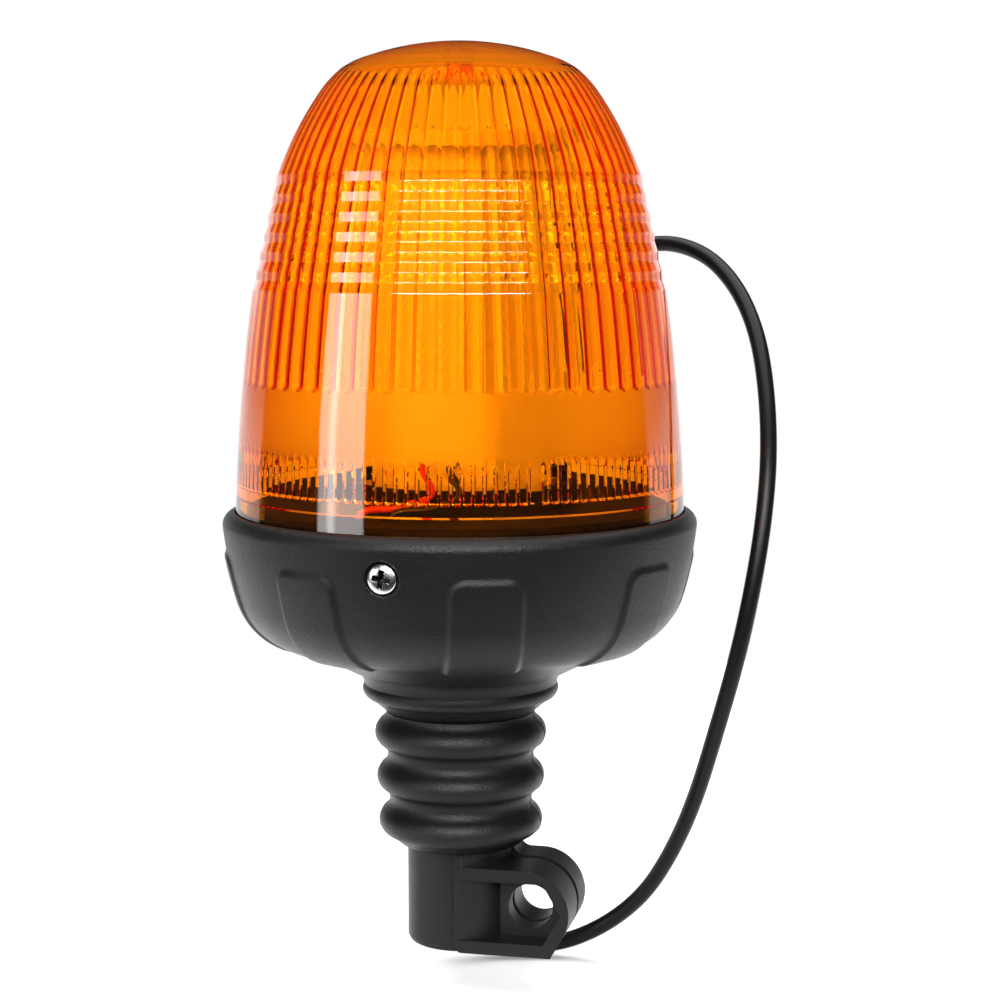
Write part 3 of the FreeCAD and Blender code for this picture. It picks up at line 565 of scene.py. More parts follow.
def new_piece(name, points, faces, finish, crease_angle=35.0):
    """Mesh object from points in millimetres and arrays of faces."""
    mesh = bpy.data.meshes.new(name)
    mesh.from_pydata(points.reshape(-1, 3) * MM, [], [face for group in faces for face in group.tolist()])
    shade_smooth(mesh, crease_angle)
    mesh.materials.append(finish)
    mesh.update()
    return add_object(name, mesh)


def store(piece, name, values):
    """Holds one number per point of a piece, for its finish."""
    layer = piece.data.attributes.new(name, "FLOAT", "POINT")
    layer.data.foreach_set("value", values.astype(np.float32))


def stand_for(piece, body, slot, *nodes):
    """Lets a piece ride on a body in place of CAD nodes. The slot is not used."""
    if body:
        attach(piece, body)
    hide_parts(*nodes)


def dress(nodes, finish):
    """Gives CAD nodes a finish."""
    for name in nodes:
        slots = frame["nodes"][name].data.materials
        slots.clear()
        slots.append(finish)


def prism_band():
    """Profile of the prism rings: a slanted step and a steep facet per ring, with small round edges."""
    corners = [PRISM_LOW]
    for _ in range(PRISM_COUNT):
        radius, height = corners[-1]
        corners.append((radius - PRISM_STEP, height + PRISM_PITCH / 2))
        corners.append((radius - PRISM_STEP - PRISM_DRAFT, height + PRISM_PITCH))
    corners = np.array(corners)
    ahead = np.diff(corners, axis=0)
    ahead /= np.hypot(*ahead.T)[:, None]
    inner = corners[1:-1]
    before, after = ahead[:-1], ahead[1:]
    softened = np.stack([
        inner - 2 * PRISM_EDGE * before,
        inner - PRISM_EDGE * before,
        inner + 0.25 * PRISM_EDGE * (after - before),
        inner + PRISM_EDGE * after,
        inner + 2 * PRISM_EDGE * after,
    ], axis=1)
    first, last = corners[:1], corners[-1:]
    close = 2 * PRISM_EDGE * ahead
    return np.vstack([first, first + close[:1], softened.reshape(-1, 2), last - close[-1:], last])


def dome_side():
    """Dense profile from the prisms' top to the crown's edge: two arcs, and a parabola round their corner."""
    dome = arc(PRISM_HIGH, DOME_BULGE, DOME_END, ARC_POINTS)[:-DOME_TRIM]
    shoulder = arc(DOME_END, CROWN_BEND, CROWN_EDGE, ARC_POINTS)[SHOULDER_TRIM:]
    share = np.linspace(0, 1, CORNER_POINTS)[:, None]
    pull = 2 * share * (1 - share) * np.array(DOME_END)
    corner = (1 - share) ** 2 * dome[-1] + pull + share ** 2 * shoulder[0]
    return outline(dome, corner, shoulder)


def crown_cap(count):
    """Profile of the crown: a shallow ball from its edge to the axis."""
    rise = CROWN_TOP - CROWN_EDGE[1]
    ball = (CROWN_EDGE[0] ** 2 + rise ** 2) / (2 * rise)
    turns = np.linspace(math.asin(CROWN_EDGE[0] / ball), 0, count)
    return np.column_stack([ball * np.sin(turns), CROWN_EDGE[1] + ball * np.cos(turns) - ball + rise])


def lens_outside():
    """Profile of the lens from its skirt to the crown's middle, prism rings included."""
    wall = arc((LENS_RADIUS, LENS_SEAT), LENS_MIDDLE, PRISM_LOW, WALL_POINTS)
    last = WALL_POINTS - 1
    wall_rows = np.append(np.arange(0, WALL_POINTS - WALL_EVERY, WALL_EVERY), [last - 1, last])
    side = dome_side()
    side_rows = np.append([0, 1], np.linspace(DOME_FIRST_ROW, len(side) - 1, DOME_ROWS).astype(int))
    return outline(
        run((LENS_SKIRT_RADIUS, LENS_LOW.z), (LENS_SKIRT_RADIUS, LENS_SEAT)),
        run((LENS_SKIRT_RADIUS, LENS_SEAT), (LENS_RADIUS, LENS_SEAT)),
        wall[wall_rows],
        prism_band(),
        side[side_rows],
        crown_cap(9),
    )


def lens_inside_rows():
    """Plain inner profile of the lens: the outer curves without prisms, moved in along their normals.

    Gives its points, normals, distances along it, where its ribs start and end, and the height of its middle.
    """
    half = (PRISM_LOW[0] + PRISM_HIGH[0]) / 2 + PRISM_HOLLOW_BULGE
    dense = outline(
        arc((LENS_RADIUS, LENS_SEAT), LENS_MIDDLE, PRISM_LOW, WALL_POINTS - 1),
        arc(PRISM_LOW, (half, (PRISM_LOW[1] + PRISM_HIGH[1]) / 2), PRISM_HIGH, ARC_POINTS),
        dome_side(),
        crown_cap(60),
    )
    window = 2 * SMOOTH_REACH + 1
    smooth = [np.convolve(np.pad(side, SMOOTH_REACH, "edge"), np.ones(window) / window, "valid")
              for side in normals(dense).T]
    inside = dense - LENS_WALL * np.column_stack(smooth)
    inside[:, 0] = np.maximum(inside[:, 0], 0)
    inside[-1, 0] = 0
    bore = LENS_SKIRT_RADIUS - LENS_WALL + SKIRT_STEP
    foot = np.array([(bore, LENS_LOW.z), (bore, SKIRT_LINE)])
    inside = np.vstack([foot, inside[inside[:, 1] > SKIRT_LINE + SKIRT_STEP / 2]])
    along = path_length(inside)
    heights = [COMB_FOOT, COMB_TIP, FLUTE_FOOT]
    comb_low, comb_high, flute_low = np.interp(heights, inside[:RISING_POINTS, 1], along[:RISING_POINTS])
    flute_high = along[-1] - FLUTE_END_RADIUS
    # Rows lie close together at the ribs' feet and ends, and at the stub
    rows = np.concatenate([
        along[:3],
        [comb_low - 0.4],
        np.linspace(comb_low, comb_low + 1.6, 8),
        np.linspace(comb_low + 2.6, comb_high, 9),
        np.linspace(comb_high + 2.0, flute_low - 1.5, 4),
        np.linspace(flute_low, flute_low + 3.2, 10),
        np.linspace(flute_low + 5.5, flute_high - 8.0, 16),
        np.linspace(flute_high - 7.0, flute_high, 8),
        np.linspace(flute_high + 2.0, along[-1] - STUB_RADIUS - 1.0, 11),
        along[-1] - STUB_RADIUS + np.array([-STUB_SLOPE, 0, STUB_SLOPE, STUB_WALL, STUB_WALL + STUB_SLOPE]),
    ])
    points = np.column_stack([np.interp(rows, along, inside[:, axis]) for axis in (0, 1)])
    sides = np.column_stack([np.interp(rows, along, normals(inside)[:, axis]) for axis in (0, 1)])
    points[-3:-1, 1] -= STUB_DROP
    return points, sides, rows, (comb_low, comb_high, flute_low, flute_high), inside[-1, 1]


def flute_height(radius, count, turns, below):
    """Height of round ribs with ball feet: sqrt(R^2 - x^2 - v^2) less its value at the rib's edge, or 0."""
    pitch = 2 * math.pi * radius / count
    width = FLUTE_SHARE * pitch
    ball = FLUTE_ROUND * width
    across = (np.mod(turns * count, 1) - 0.5) * pitch
    beyond = np.maximum(below + width / 2, 0)
    inside = np.maximum(ball ** 2 - across ** 2 - beyond ** 2, 0)
    return np.maximum(np.sqrt(inside) - np.sqrt(ball ** 2 - (width / 2) ** 2), 0)


def comb_height(radius, count, turns, below):
    """Height of flat ribs with steep sides and round feet: a smooth step over the distance to their line."""
    pitch = 2 * math.pi * radius / count
    across = np.mod(turns * count, 1) - 0.5
    beyond = np.maximum(below / pitch + COMB_PLACES[-1], 0)
    return COMB_RISE * smoothstep(COMB_PLACES[-1], COMB_PLACES[-2], np.hypot(across, beyond))


def make_lens(settings):
    """Lens as one closed shell: prism rings outside, and inside tall ribs above a comb of short ones."""
    outer_profile = lens_outside()
    outer = turn(outer_profile[:-1, :1], outer_profile[:-1, 1:], full_turn(LENS_COLUMNS))

    points, sides, along, (comb_low, comb_high, flute_low, flute_high), inner_top = lens_inside_rows()
    combs = settings.flute_count * COMBS_PER_FLUTE
    columns = combs * len(COMB_PLACES)
    turns = ((np.arange(combs)[:, None] + 0.5 + np.array(COMB_PLACES)) / combs).reshape(1, -1)
    radius = points[:, :1]
    row = along[:, None]
    flutes = flute_height(radius, settings.flute_count, turns, flute_low - row)
    flutes = flutes * smoothstep(flute_high, flute_high - FLUTE_FADE, row)
    comb = comb_height(radius, combs, turns, comb_low - row)
    comb = comb * np.clip((comb_high - row) / (comb_high - comb_low), 0, 1)
    angles = 2 * math.pi * turns
    gap = np.abs(np.angle(np.exp(1j * (angles - COMB_GAP_ANGLE)))) < math.pi / combs
    comb = np.where(gap, 0, comb)
    relief = flutes + comb
    inner = turn(radius - relief * sides[:, :1], points[:, 1:] - relief * sides[:, 1:], angles)

    start = outer.shape[0] * LENS_COLUMNS
    poles = start + inner.shape[0] * columns
    every = columns // LENS_COLUMNS
    ring = np.arange(LENS_COLUMNS)
    inner_rim = start + (every * ring[:, None] + np.arange(every + 1)[None, :]) % columns
    rim = np.column_stack([(ring + 1) % LENS_COLUMNS, ring, inner_rim])
    outer_top = (outer.shape[0] - 1) * LENS_COLUMNS + ring
    inner_loop = start + (inner.shape[0] - 1) * columns + np.arange(columns)
    faces = [
        grid_faces(outer.shape[0], LENS_COLUMNS),
        grid_faces(inner.shape[0], columns, start)[:, ::-1],
        rim,
        fan_faces(outer_top, poles),
        fan_faces(inner_loop, poles + 1)[:, ::-1],
    ]
    ends = np.array([(0, 0, CROWN_TOP), (0, 0, inner_top)])
    everything = np.vstack([outer.reshape(-1, 3), inner.reshape(-1, 3), ends])
    lens = new_piece("lens", everything, faces, amber_finish(settings.colour), LENS_CREASE)
    plain_band = (smoothstep(comb_high - FROST_FADE_LOW, comb_high, row)
                  * smoothstep(flute_low + FROST_FADE_HIGH, flute_low, row))
    frost = np.zeros(len(everything))
    frost[start:poles] = np.broadcast_to(plain_band, (inner.shape[0], columns)).ravel()
    store(lens, "frost", frost)
    stand_for(lens, "head", "amber_lens", "lens_dome")


def cup_outside():
    """Profile of the cup's outside from the neck to the lip, with even rows on the wall about the screws."""
    neck_edge = (neck_profile()[-1][0], NECK_TOP)
    middle_floor = ((CONE_TOP[0] + FLOOR_EDGE[0]) / 2, (CONE_TOP[1] + FLOOR_EDGE[1]) / 2 + SURFACE_BULGE)
    middle_wall = ((CUP_CORNER[0] + CUP_WIDEST[0]) / 2 + SURFACE_BULGE, (CUP_CORNER[1] + CUP_WIDEST[1]) / 2)
    dense = arc(CUP_CORNER, middle_wall, CUP_WIDEST, 400)
    steps = np.arange(math.ceil((CUP_CORNER[1] - SCREW_HEIGHT) / WALL_STEP),
                      math.floor((CUP_WIDEST[1] - SCREW_HEIGHT) / WALL_STEP) + 1)
    heights = np.concatenate([[CUP_CORNER[1]], SCREW_HEIGHT + WALL_STEP * steps, [CUP_WIDEST[1]]])
    wall = np.column_stack([np.interp(heights, dense[:, 1], dense[:, 0]), heights])
    lip_corner = (CUP_RADIUS - LIP_CORNER, LIP_RIDGE - LIP_CORNER)
    lip_edge = (CUP_RADIUS - LIP_ROUND, LIP_RIDGE)
    return outline(
        run(neck_edge, COLLAR_FLANK, 4),
        arc(COLLAR_FLANK, COLLAR_CREST, COLLAR_WAIST, 10),
        arc(COLLAR_WAIST, COLLAR_BEND, CONE_TOP, 10),
        arc(CONE_TOP, middle_floor, FLOOR_EDGE, 24),
        arc(FLOOR_EDGE, CORNER_BEND, CUP_CORNER, 28),
        wall,
        arc(CUP_WIDEST, lip_corner, lip_edge, 12),
        run(lip_edge, (LENS_RADIUS + LENS_GAP, LIP_RIDGE)),
    )


def cup_inside():
    """Profile of the cup's hidden inside, from under the lip back to the neck."""
    return np.array([
        (LENS_RADIUS + LENS_GAP, LENS_SEAT - LENS_GAP),
        (CUP_BORE, LENS_SEAT - LENS_GAP),
        (CUP_BORE, CUP_SHOULDER),
        (CUP_CORNER[0] - CUP_WALL, CUP_SHOULDER),
        (CUP_CORNER[0] - CUP_WALL, CUP_CORNER[1]),
        (FLOOR_EDGE[0], FLOOR_EDGE[1] + FLOOR_WALL),
        (CONE_TOP[0], CONE_TOP[1] + FLOOR_WALL),
        (NECK_BORE, COLLAR_TOP),
        (NECK_BORE, NECK_TOP),
    ])


def pad_relief(profile, angles, edge):
    """Raised pads: the distance from a rounded rectangle, across and along the profile, as a soft step."""
    along = path_length(profile)
    rise = np.argmax(profile[:, 1] >= CUP_CORNER[1])
    top = np.interp(PAD_TOP, profile[rise:-1, 1], along[rise:-1])
    low = np.interp(PAD_INNER_RADIUS, profile[:rise, 0], along[:rise])
    step = 2 * math.pi / PAD_COUNT
    aside = np.mod(angles - HEAD_ANGLE - PAD_TURN, step) - step / 2
    across = np.abs(profile[:, :1] * np.sin(aside)) - PAD_WIDTH / 2 + PAD_CORNER
    lengthways = np.abs(along[:, None] - (low + top) / 2) - (top - low) / 2 + PAD_CORNER
    outside = np.hypot(np.maximum(across, 0), np.maximum(lengthways, 0))
    distance = outside + np.minimum(np.maximum(across, lengthways), 0) - PAD_CORNER
    return smoothstep(edge / 2, -edge / 2, distance)


def screw_axes(angle):
    """Unit vectors out of the cup and along its wall at a screw."""
    out = np.array([math.cos(angle), math.sin(angle), 0])
    return out, np.array([-out[1], out[0], 0])


def counterbore(loop, angle, wall):
    """Rings of points from a rectangle on the wall to a round bore, over its edge and down to its floor."""
    forward, aside = screw_axes(angle)
    side = loop @ aside
    up = loop[:, 2] - SCREW_HEIGHT
    spokes = np.column_stack([side, up]) / np.hypot(side, up)[:, None]

    def surface(flat):
        radius = np.interp(flat[:, 1] + SCREW_HEIGHT, wall[:, 1], wall[:, 0])
        return np.sqrt(radius ** 2 - flat[:, 0] ** 2)

    def place(flat, depth):
        return depth[:, None] * forward + flat[:, :1] * aside + (flat[:, 1:] + SCREW_HEIGHT) * (0, 0, 1)

    rings = []
    rim = (COUNTERBORE_RADIUS + COUNTERBORE_MARGIN) * spokes
    for share in MARGIN_SHARES:
        flat = (1 - share) * np.column_stack([side, up]) + share * rim
        rings.append(place(flat, surface(flat)))
    for wider, sunk in BORE_EDGE_STEPS:
        flat = (COUNTERBORE_RADIUS + wider) * spokes
        rings.append(place(flat, surface(flat) - sunk))
    for wider, lift in BORE_FLOOR_STEPS:
        flat = (COUNTERBORE_RADIUS + wider) * spokes
        rings.append(place(flat, np.full(len(flat), COUNTERBORE_FLOOR + lift)))
    return np.array(rings), COUNTERBORE_FLOOR * forward + (0, 0, SCREW_HEIGHT)


def make_cup(settings):
    """Cup as a turned grid with soft pads, and a round counterbore in a gap of the grid at each screw."""
    outside = cup_outside()
    profile = np.vstack([outside, cup_inside()])
    angles = HEAD_ANGLE + full_turn(CUP_COLUMNS)
    relief = np.zeros((len(profile), CUP_COLUMNS))
    relief[:len(outside)] = settings.pad_height / MM * pad_relief(outside, angles, settings.pad_edge / MM)
    sides = np.zeros_like(profile)
    sides[:len(outside)] = normals(outside)
    shell = turn(profile[:, :1] + relief * sides[:, :1], profile[:, 1:] + relief * sides[:, 1:], angles)
    rows = len(profile)
    quads = grid_faces(rows, CUP_COLUMNS, closed=True).reshape(rows, CUP_COLUMNS, 4)
    keep = np.ones((rows, CUP_COLUMNS), bool)
    off_level = np.where(outside[:, 0] < CUP_CORNER[0], np.inf, np.abs(outside[:, 1] - SCREW_HEIGHT))
    middle = int(np.argmin(off_level))
    half = PATCH_CELLS // 2
    steps = np.arange(-half, half)
    points = [shell.reshape(-1, 3)]
    faces = []
    for column, angle in ((0, HEAD_ANGLE), (CUP_COLUMNS // 2, HEAD_ANGLE + math.pi)):
        beside = (column + steps) % CUP_COLUMNS
        keep[np.ix_(middle + steps, beside)] = False
        end = np.full(PATCH_CELLS, half)
        row_path = np.concatenate([-end, steps, end, -steps])
        column_path = np.concatenate([steps, end, -steps, -end])
        loop = (middle + row_path) * CUP_COLUMNS + (column + column_path) % CUP_COLUMNS
        rings, centre = counterbore(points[0][loop], angle, outside[outside[:, 1] > CUP_CORNER[1]][:-2])
        first = sum(len(group) for group in points)
        numbers = first + np.arange(rings.shape[0] * len(loop)).reshape(rings.shape[0], len(loop))
        loops = [loop, *numbers]
        faces += [ring_faces(outer, inner) for outer, inner in zip(loops, loops[1:])]
        faces.append(fan_faces(numbers[-1], first + numbers.size))
        points += [rings.reshape(-1, 3), centre[None, :]]
    faces.insert(0, quads[keep])
    finish = rubber_finish("cup_rubber", settings.colour, RUBBER_GRAIN)
    cup = new_piece("cup", np.vstack(points), faces, finish, RUBBER_CREASE)
    stand_for(cup, "head", "black_rubber", "rubber_cup")
    make_boss(finish)


def make_boss(finish):
    """Round boss under the cup, turned about the line of the grommet that sits in it."""
    profile = np.array([
        (BOSS_BORE, BOSS_FOOT),
        (BOSS_RADIUS - BOSS_EDGE, BOSS_FOOT),
        (BOSS_RADIUS, BOSS_FOOT + BOSS_EDGE),
        (BOSS_RADIUS, BOSS_TOP),
        (BOSS_BORE, BOSS_TOP),
    ])
    centre = (GROMMET_LOW + GROMMET_HIGH) / 2
    ring = turn(profile[:, :1], profile[:, 1:], full_turn(BOSS_COLUMNS)) + np.array((centre.x, centre.y, 0))
    faces = [grid_faces(len(profile), BOSS_COLUMNS, closed=True)]
    boss = new_piece("cable_boss", ring, faces, finish, RUBBER_CREASE)
    stand_for(boss, "head", "black_rubber", "rubber_cup")


def neck_profile():
    """Outside of the neck: crest arcs and valley arcs that touch, a pair per ring, from foot to cup."""
    reach = CREST_ROUND + VALLEY_ROUND
    share = CREST_ROUND / reach
    index = np.arange(RING_COUNT)
    centres = np.column_stack([RING_RADIUS - RING_TAPER * (RING_COUNT - 1 - index) - CREST_ROUND,
                               NECK_LOW.z + RING_FIRST + RING_PITCH * index])
    upper = np.vstack([centres[1:], (centres[-1][0], 2 * NECK_TOP - centres[-1][1])])
    between = (centres + upper) / 2
    apart = upper - centres
    across = np.hypot(*apart.T)
    out = np.sqrt(reach ** 2 - (across / 2) ** 2)[:, None]
    valleys = between + out * np.column_stack([apart[:, 1], -apart[:, 0]]) / across[:, None]
    start = centres[0] + CREST_ROUND * np.array([math.cos(NECK_FOOT_TURN), math.sin(NECK_FOOT_TURN)])
    pieces = [run((NECK_FOOT_RADIUS, NECK_LOW.z), start, 3)]
    here = start
    for centre, valley, above in zip(centres, valleys, upper):
        meet = centre + share * (valley - centre)
        onward = above + share * (valley - above)
        pieces.append(arc(here, centre + (CREST_ROUND, 0), meet, CREST_ROWS))
        pieces.append(arc(meet, valley - (VALLEY_ROUND, 0), onward, VALLEY_ROWS))
        here = onward
    whole = outline(*pieces)
    return whole[whole[:, 1] <= NECK_TOP + 1e-6]


def seam_angles(columns):
    """Even angles round the neck, with extra ones close to the two mould seams."""
    near = EAR_ANGLE + np.outer((-1, 1), SEAM_NEAR).ravel()
    return np.sort(np.mod(np.concatenate([full_turn(columns)[0], near, math.pi + near]), 2 * math.pi))


def neck_half(name, rows, finish, seam_height):
    """Closed ring between two rows of the neck: its outside with fine mould seams, and a plain bore."""
    angles = seam_angles(NECK_COLUMNS)[None, :]
    aside = np.abs(np.sin(angles - EAR_ANGLE)) * rows[:, :1]
    ridge = seam_height * np.exp(-(aside / SEAM_WIDTH) ** 2)
    outer = turn(rows[:, :1] + ridge, rows[:, 1:], angles)
    inner = turn(NECK_GRIP_RADIUS, rows[[-1, 0], 1:], angles)
    grid = np.concatenate([outer, inner])
    return new_piece(name, grid, [grid_faces(len(grid), angles.size, closed=True)], finish, NECK_CREASE)


def make_neck(settings):
    """Ringed neck in two halves that meet in a valley between its two joints."""
    profile = neck_profile()
    joints = {joint["name"]: joint["pos_m"][2] / MM for joint in frame["joints"]}
    split = (joints["neck_lower"] + joints["neck_upper"]) / 2
    middle = int(np.argmin(np.abs(profile[:, 1] - split)))
    split = profile[middle, 1]
    finish = rubber_finish("neck_rubber", settings.colour, RUBBER_GRAIN)
    lower = neck_half("neck_lower_rings", profile[:middle + 1], finish, settings.seam_height / MM)
    upper = neck_half("neck_upper_rings", profile[middle:], finish, settings.seam_height / MM)
    first = joints["neck_lower"] - (split - joints["neck_lower"])
    first * MM
    split * MM
    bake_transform(lower)
    split * MM
    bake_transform(upper)
    for half in (lower, upper):
        stand_for(half, None, "black_rubber", "neck_bellows")


def make_socket(settings):
    """Clamp socket: the CAD shape merged into clean faces, with every hard edge slightly rounded."""
    source = frame["nodes"]["pole_socket"].data
    shape = bmesh.new()
    shape.from_mesh(source)
    bmesh.ops.remove_doubles(shape, verts=shape.verts, dist=WELD_DISTANCE * MM)
    flat = math.radians(FLAT_ANGLE)
    bmesh.ops.dissolve_limit(shape, angle_limit=flat, verts=shape.verts, edges=shape.edges)
    mesh = bpy.data.meshes.new("socket")
    shape.to_mesh(mesh)
    shape.free()
    shade_smooth(mesh, SOCKET_CREASE)
    mesh.materials.clear()
    mesh.materials.append(plastic_finish("socket_nylon", settings.socket_colour, 0.4, shine=0.14))
    socket = add_object("socket", mesh)
    edges = socket.modifiers.new("rounded_edges", "BEVEL")
    edges.width = settings.socket_edge
    edges.segments = 2
    edges.limit_method = "ANGLE"
    edges.angle_limit = math.radians(BEVEL_ANGLE)
    edges.harden_normals = True
    stand_for(socket, "socket", "socket_plastic", "pole_socket")


def screw_head():
    """Head and shank as turned rows, with a cross recess: its depth times a soft mask of flat coordinates."""
    crown = np.linspace(0.04, 1, HEAD_ROWS) ** 0.8
    radius = np.concatenate([
        crown * (HEAD_RADIUS - HEAD_DOME / 2),
        HEAD_RADIUS - HEAD_EDGE[:, 0],
        [HEAD_RADIUS, SHANK_RADIUS, SHANK_RADIUS],
    ])[:, None]
    height = np.concatenate([
        HEAD_HEIGHT - HEAD_DOME * (crown * 0.92) ** 3,
        HEAD_HEIGHT - HEAD_DOME * HEAD_EDGE[:, 1],
        [0.0, 0.0, -SHANK_LENGTH],
    ])[:, None]
    angles = full_turn(HEAD_COLUMNS)
    right = radius * np.cos(angles)
    up = radius * np.sin(angles)
    taper = 1 - RECESS_TAPER * np.maximum(np.abs(right), np.abs(up)) / RECESS_REACH

    def arm(along, across):
        return (smoothstep(RECESS_REACH, RECESS_REACH - RECESS_EDGE, np.abs(along))
                * smoothstep(RECESS_HALF + RECESS_EDGE / 2, RECESS_HALF - RECESS_EDGE / 2, np.abs(across)))

    cross = np.maximum(arm(right, up), arm(up, right))
    cross = np.where(height > 1, cross, 0)
    depth = height - RECESS_DEPTH * cross * np.maximum(taper, 0)
    return np.stack([right, up, depth], axis=-1), cross


def make_cup_screws(settings):
    """Two pan-head screws with cross recesses, lying along the screw line of the cup."""
    head, cross = screw_head()
    rows, columns = head.shape[:2]
    points = []
    faces = []
    for angle in (HEAD_ANGLE, HEAD_ANGLE + math.pi):
        forward, aside = screw_axes(angle)
        right = math.cos(SCREW_TWIST) * aside + math.sin(SCREW_TWIST) * np.array([0, 0, 1.0])
        up = np.cross(forward, right)
        base = COUNTERBORE_FLOOR * forward + (0, 0, SCREW_HEIGHT)
        ends = np.array([(0, 0, HEAD_HEIGHT - RECESS_DEPTH), (0, 0, -SHANK_LENGTH)])
        local = np.vstack([head.reshape(-1, 3), ends])
        first = len(faces) // 3 * len(local)
        points.append(base + local[:, :1] * right + local[:, 1:2] * up + local[:, 2:] * forward)
        top = first + np.arange(columns)
        bottom = first + (rows - 1) * columns + np.arange(columns)
        faces += [grid_faces(rows, columns, first)[:, ::-1],
                  fan_faces(top, first + rows * columns),
                  fan_faces(bottom, first + rows * columns + 1)[:, ::-1]]
    # Painted shade: 1 across the cross recess and its middle point, where the finish paints the steel dark
    painted_recess_shade = np.tile(np.concatenate([cross.ravel(), (1.0, 0.0)]), 2)
    finish = metal_finish("screw_steel", settings.steel_colour, 0.16)
    screws = new_piece("cup_screw_pair", np.vstack(points), faces, finish)
    store(screws, "recess", painted_recess_shade)
    stand_for(screws, "head", "screw_steel", "cup_screws")


def make_cable(settings):
    """Supply cable: a smooth NURBS line through the route's control points, with a round jacket."""
    curve = bpy.data.curves.new("supply_cord", "CURVE")
    curve.dimensions = "3D"
    curve.resolution_u = 10
    curve.bevel_depth = CABLE_DIAMETER / 2
    curve.bevel_resolution = 6
    curve.use_fill_caps = True
    spline = curve.splines.new("NURBS")
    spline.points.add(len(CABLE_ROUTE) - 1)
    route = np.column_stack([np.array(CABLE_ROUTE) * MM, np.ones(len(CABLE_ROUTE))])
    spline.points.foreach_set("co", route.ravel())
    spline.order_u = 3
    spline.use_endpoint_u = True
    curve.materials.append(plastic_finish("cable_jacket", settings.jacket_colour, 0.32, 0.0009, 0.1))
    cable = add_object("supply_cord", curve)
    stand_for(cable, "head", "cable_jacket", "supply_cable")
    dress(["cable_core_red"], plastic_finish("core_red", settings.red_colour, 0.35))
    dress(["cable_core_black"], plastic_finish("core_black", settings.jacket_colour, 0.35))
    dress(["cable_core_tips"], metal_finish("core_copper", settings.copper_colour, 0.3))


def colour_setting(name, description, default):
    """A colour that a user may change."""
    return FloatVectorProperty(name=name, description=description, default=default, subtype="COLOR",
                               min=0, max=1)


def place_setting(name, description, default):
    """A place that a user may change."""
    return FloatVectorProperty(name=name, description=description, default=default, subtype="TRANSLATION",
                               unit="LENGTH")


def setting(name, description, default, unit="NONE"):
    """A number that a user may change, in metres or watts if it has a unit."""
    return FloatProperty(name=name, description=description, default=default, unit=unit)


class BeaconLens(bpy.types.PropertyGroup):
    """What a user may change on the lens."""

    colour: colour_setting("Colour", "Amber that one wall of the lens lets through", (0.99, 0.5, 0.03))
    flute_count: IntProperty(name="Flutes", description="Tall ribs inside the lens, a multiple of 22",
                             default=66, min=22, max=88)


class BeaconRubber(bpy.types.PropertyGroup):
    """What a user may change on the cup, the neck and the grommet."""

    colour: colour_setting("Rubber", "Black of the rubber mouldings", (0.003, 0.003, 0.0031))
    pad_height: setting("Pad height", "How far the cup's pads stand proud", 0.0009, "LENGTH")
    pad_edge: setting("Pad edge", "Width of the soft edge round a pad", 0.002, "LENGTH")
    seam_height: setting("Seam", "Height of the mould seams on the neck", 0.00018, "LENGTH")


class BeaconHardware(bpy.types.PropertyGroup):
    """What a user may change on the socket, the screws and the cable."""

    socket_colour: colour_setting("Socket", "Black of the clamp socket", (0.0045, 0.0045, 0.0047))
    socket_edge: setting("Socket edge", "Rounding of the socket's edges", 0.0004, "LENGTH")
    steel_colour: colour_setting("Steel", "Colour of the screws", (0.55, 0.54, 0.52))
    jacket_colour: colour_setting("Jacket", "Black of the cable's jacket", (0.0035, 0.0035, 0.0037))
    red_colour: colour_setting("Red wire", "Colour of the live wires", (0.62, 0.03, 0.02))
    copper_colour: colour_setting("Copper", "Colour of the bare wire ends", (0.72, 0.42, 0.27))


class BeaconInside(bpy.types.PropertyGroup):
    """What a user may change on the light tower and the pieces round it."""

    tower_colour: colour_setting("Tower", "White of the light tower", (0.86, 0.86, 0.83))
    carrier_colour: colour_setting("Carrier", "Black of the lens carrier", (0.006, 0.006, 0.006))
    phosphor_colour: colour_setting("Phosphor", "Yellow of the light-emitting packages", (0.95, 0.72, 0.08))
    board_colour: colour_setting("Board", "Green of the driver board", (0.02, 0.16, 0.05))


class BeaconStage(bpy.types.PropertyGroup):
    """Camera, floor and light."""

    camera_place: place_setting("Camera", "Where the camera stands", (0.1576, -0.6718, 0.2225))
    camera_aim: place_setting("Aim", "The point that the camera looks at", (0.0123, 0.0029, 0.1427))
    focal_pixels: setting("Focal length", "Focal length in pixels of a square image", 2187.0)
    floor_drop: setting("Floor gap", "How far the floor lies under the lowest point", 0.0015, "LENGTH")
    floor_front: setting("Table edge", "How far the table reaches in front of the object", 0.18, "LENGTH")
    floor_back: setting("Table depth", "How far the table reaches behind the object", 0.6, "LENGTH")
    floor_width: setting("Table width", "Width of the table", 1.3, "LENGTH")
    strip_level: setting("Strip light", "Brightness of the tall light at the left", 9.0)
    front_level: setting("Front light", "Brightness of the wide light over the camera", 42.0)
    front_fill: setting("Front fill", "Power of the front light on what is behind the lens", 38.0, "POWER")
    brow_fill: setting("Brow fill", "Power of the high front light on the black parts", 20.0, "POWER")
    top_fill: setting("Top fill", "Power of the overhead light on the black parts", 40.0, "POWER")
    glow_level: setting("Back glow", "Extra brightness of the backdrop right behind the lens", 1.0)
    overhead_level: setting("Overhead", "Brightness of the sky that is seen through the lens", 0.75)
    room_level: setting("Room", "Brightness of the rest of the room", 0.03)


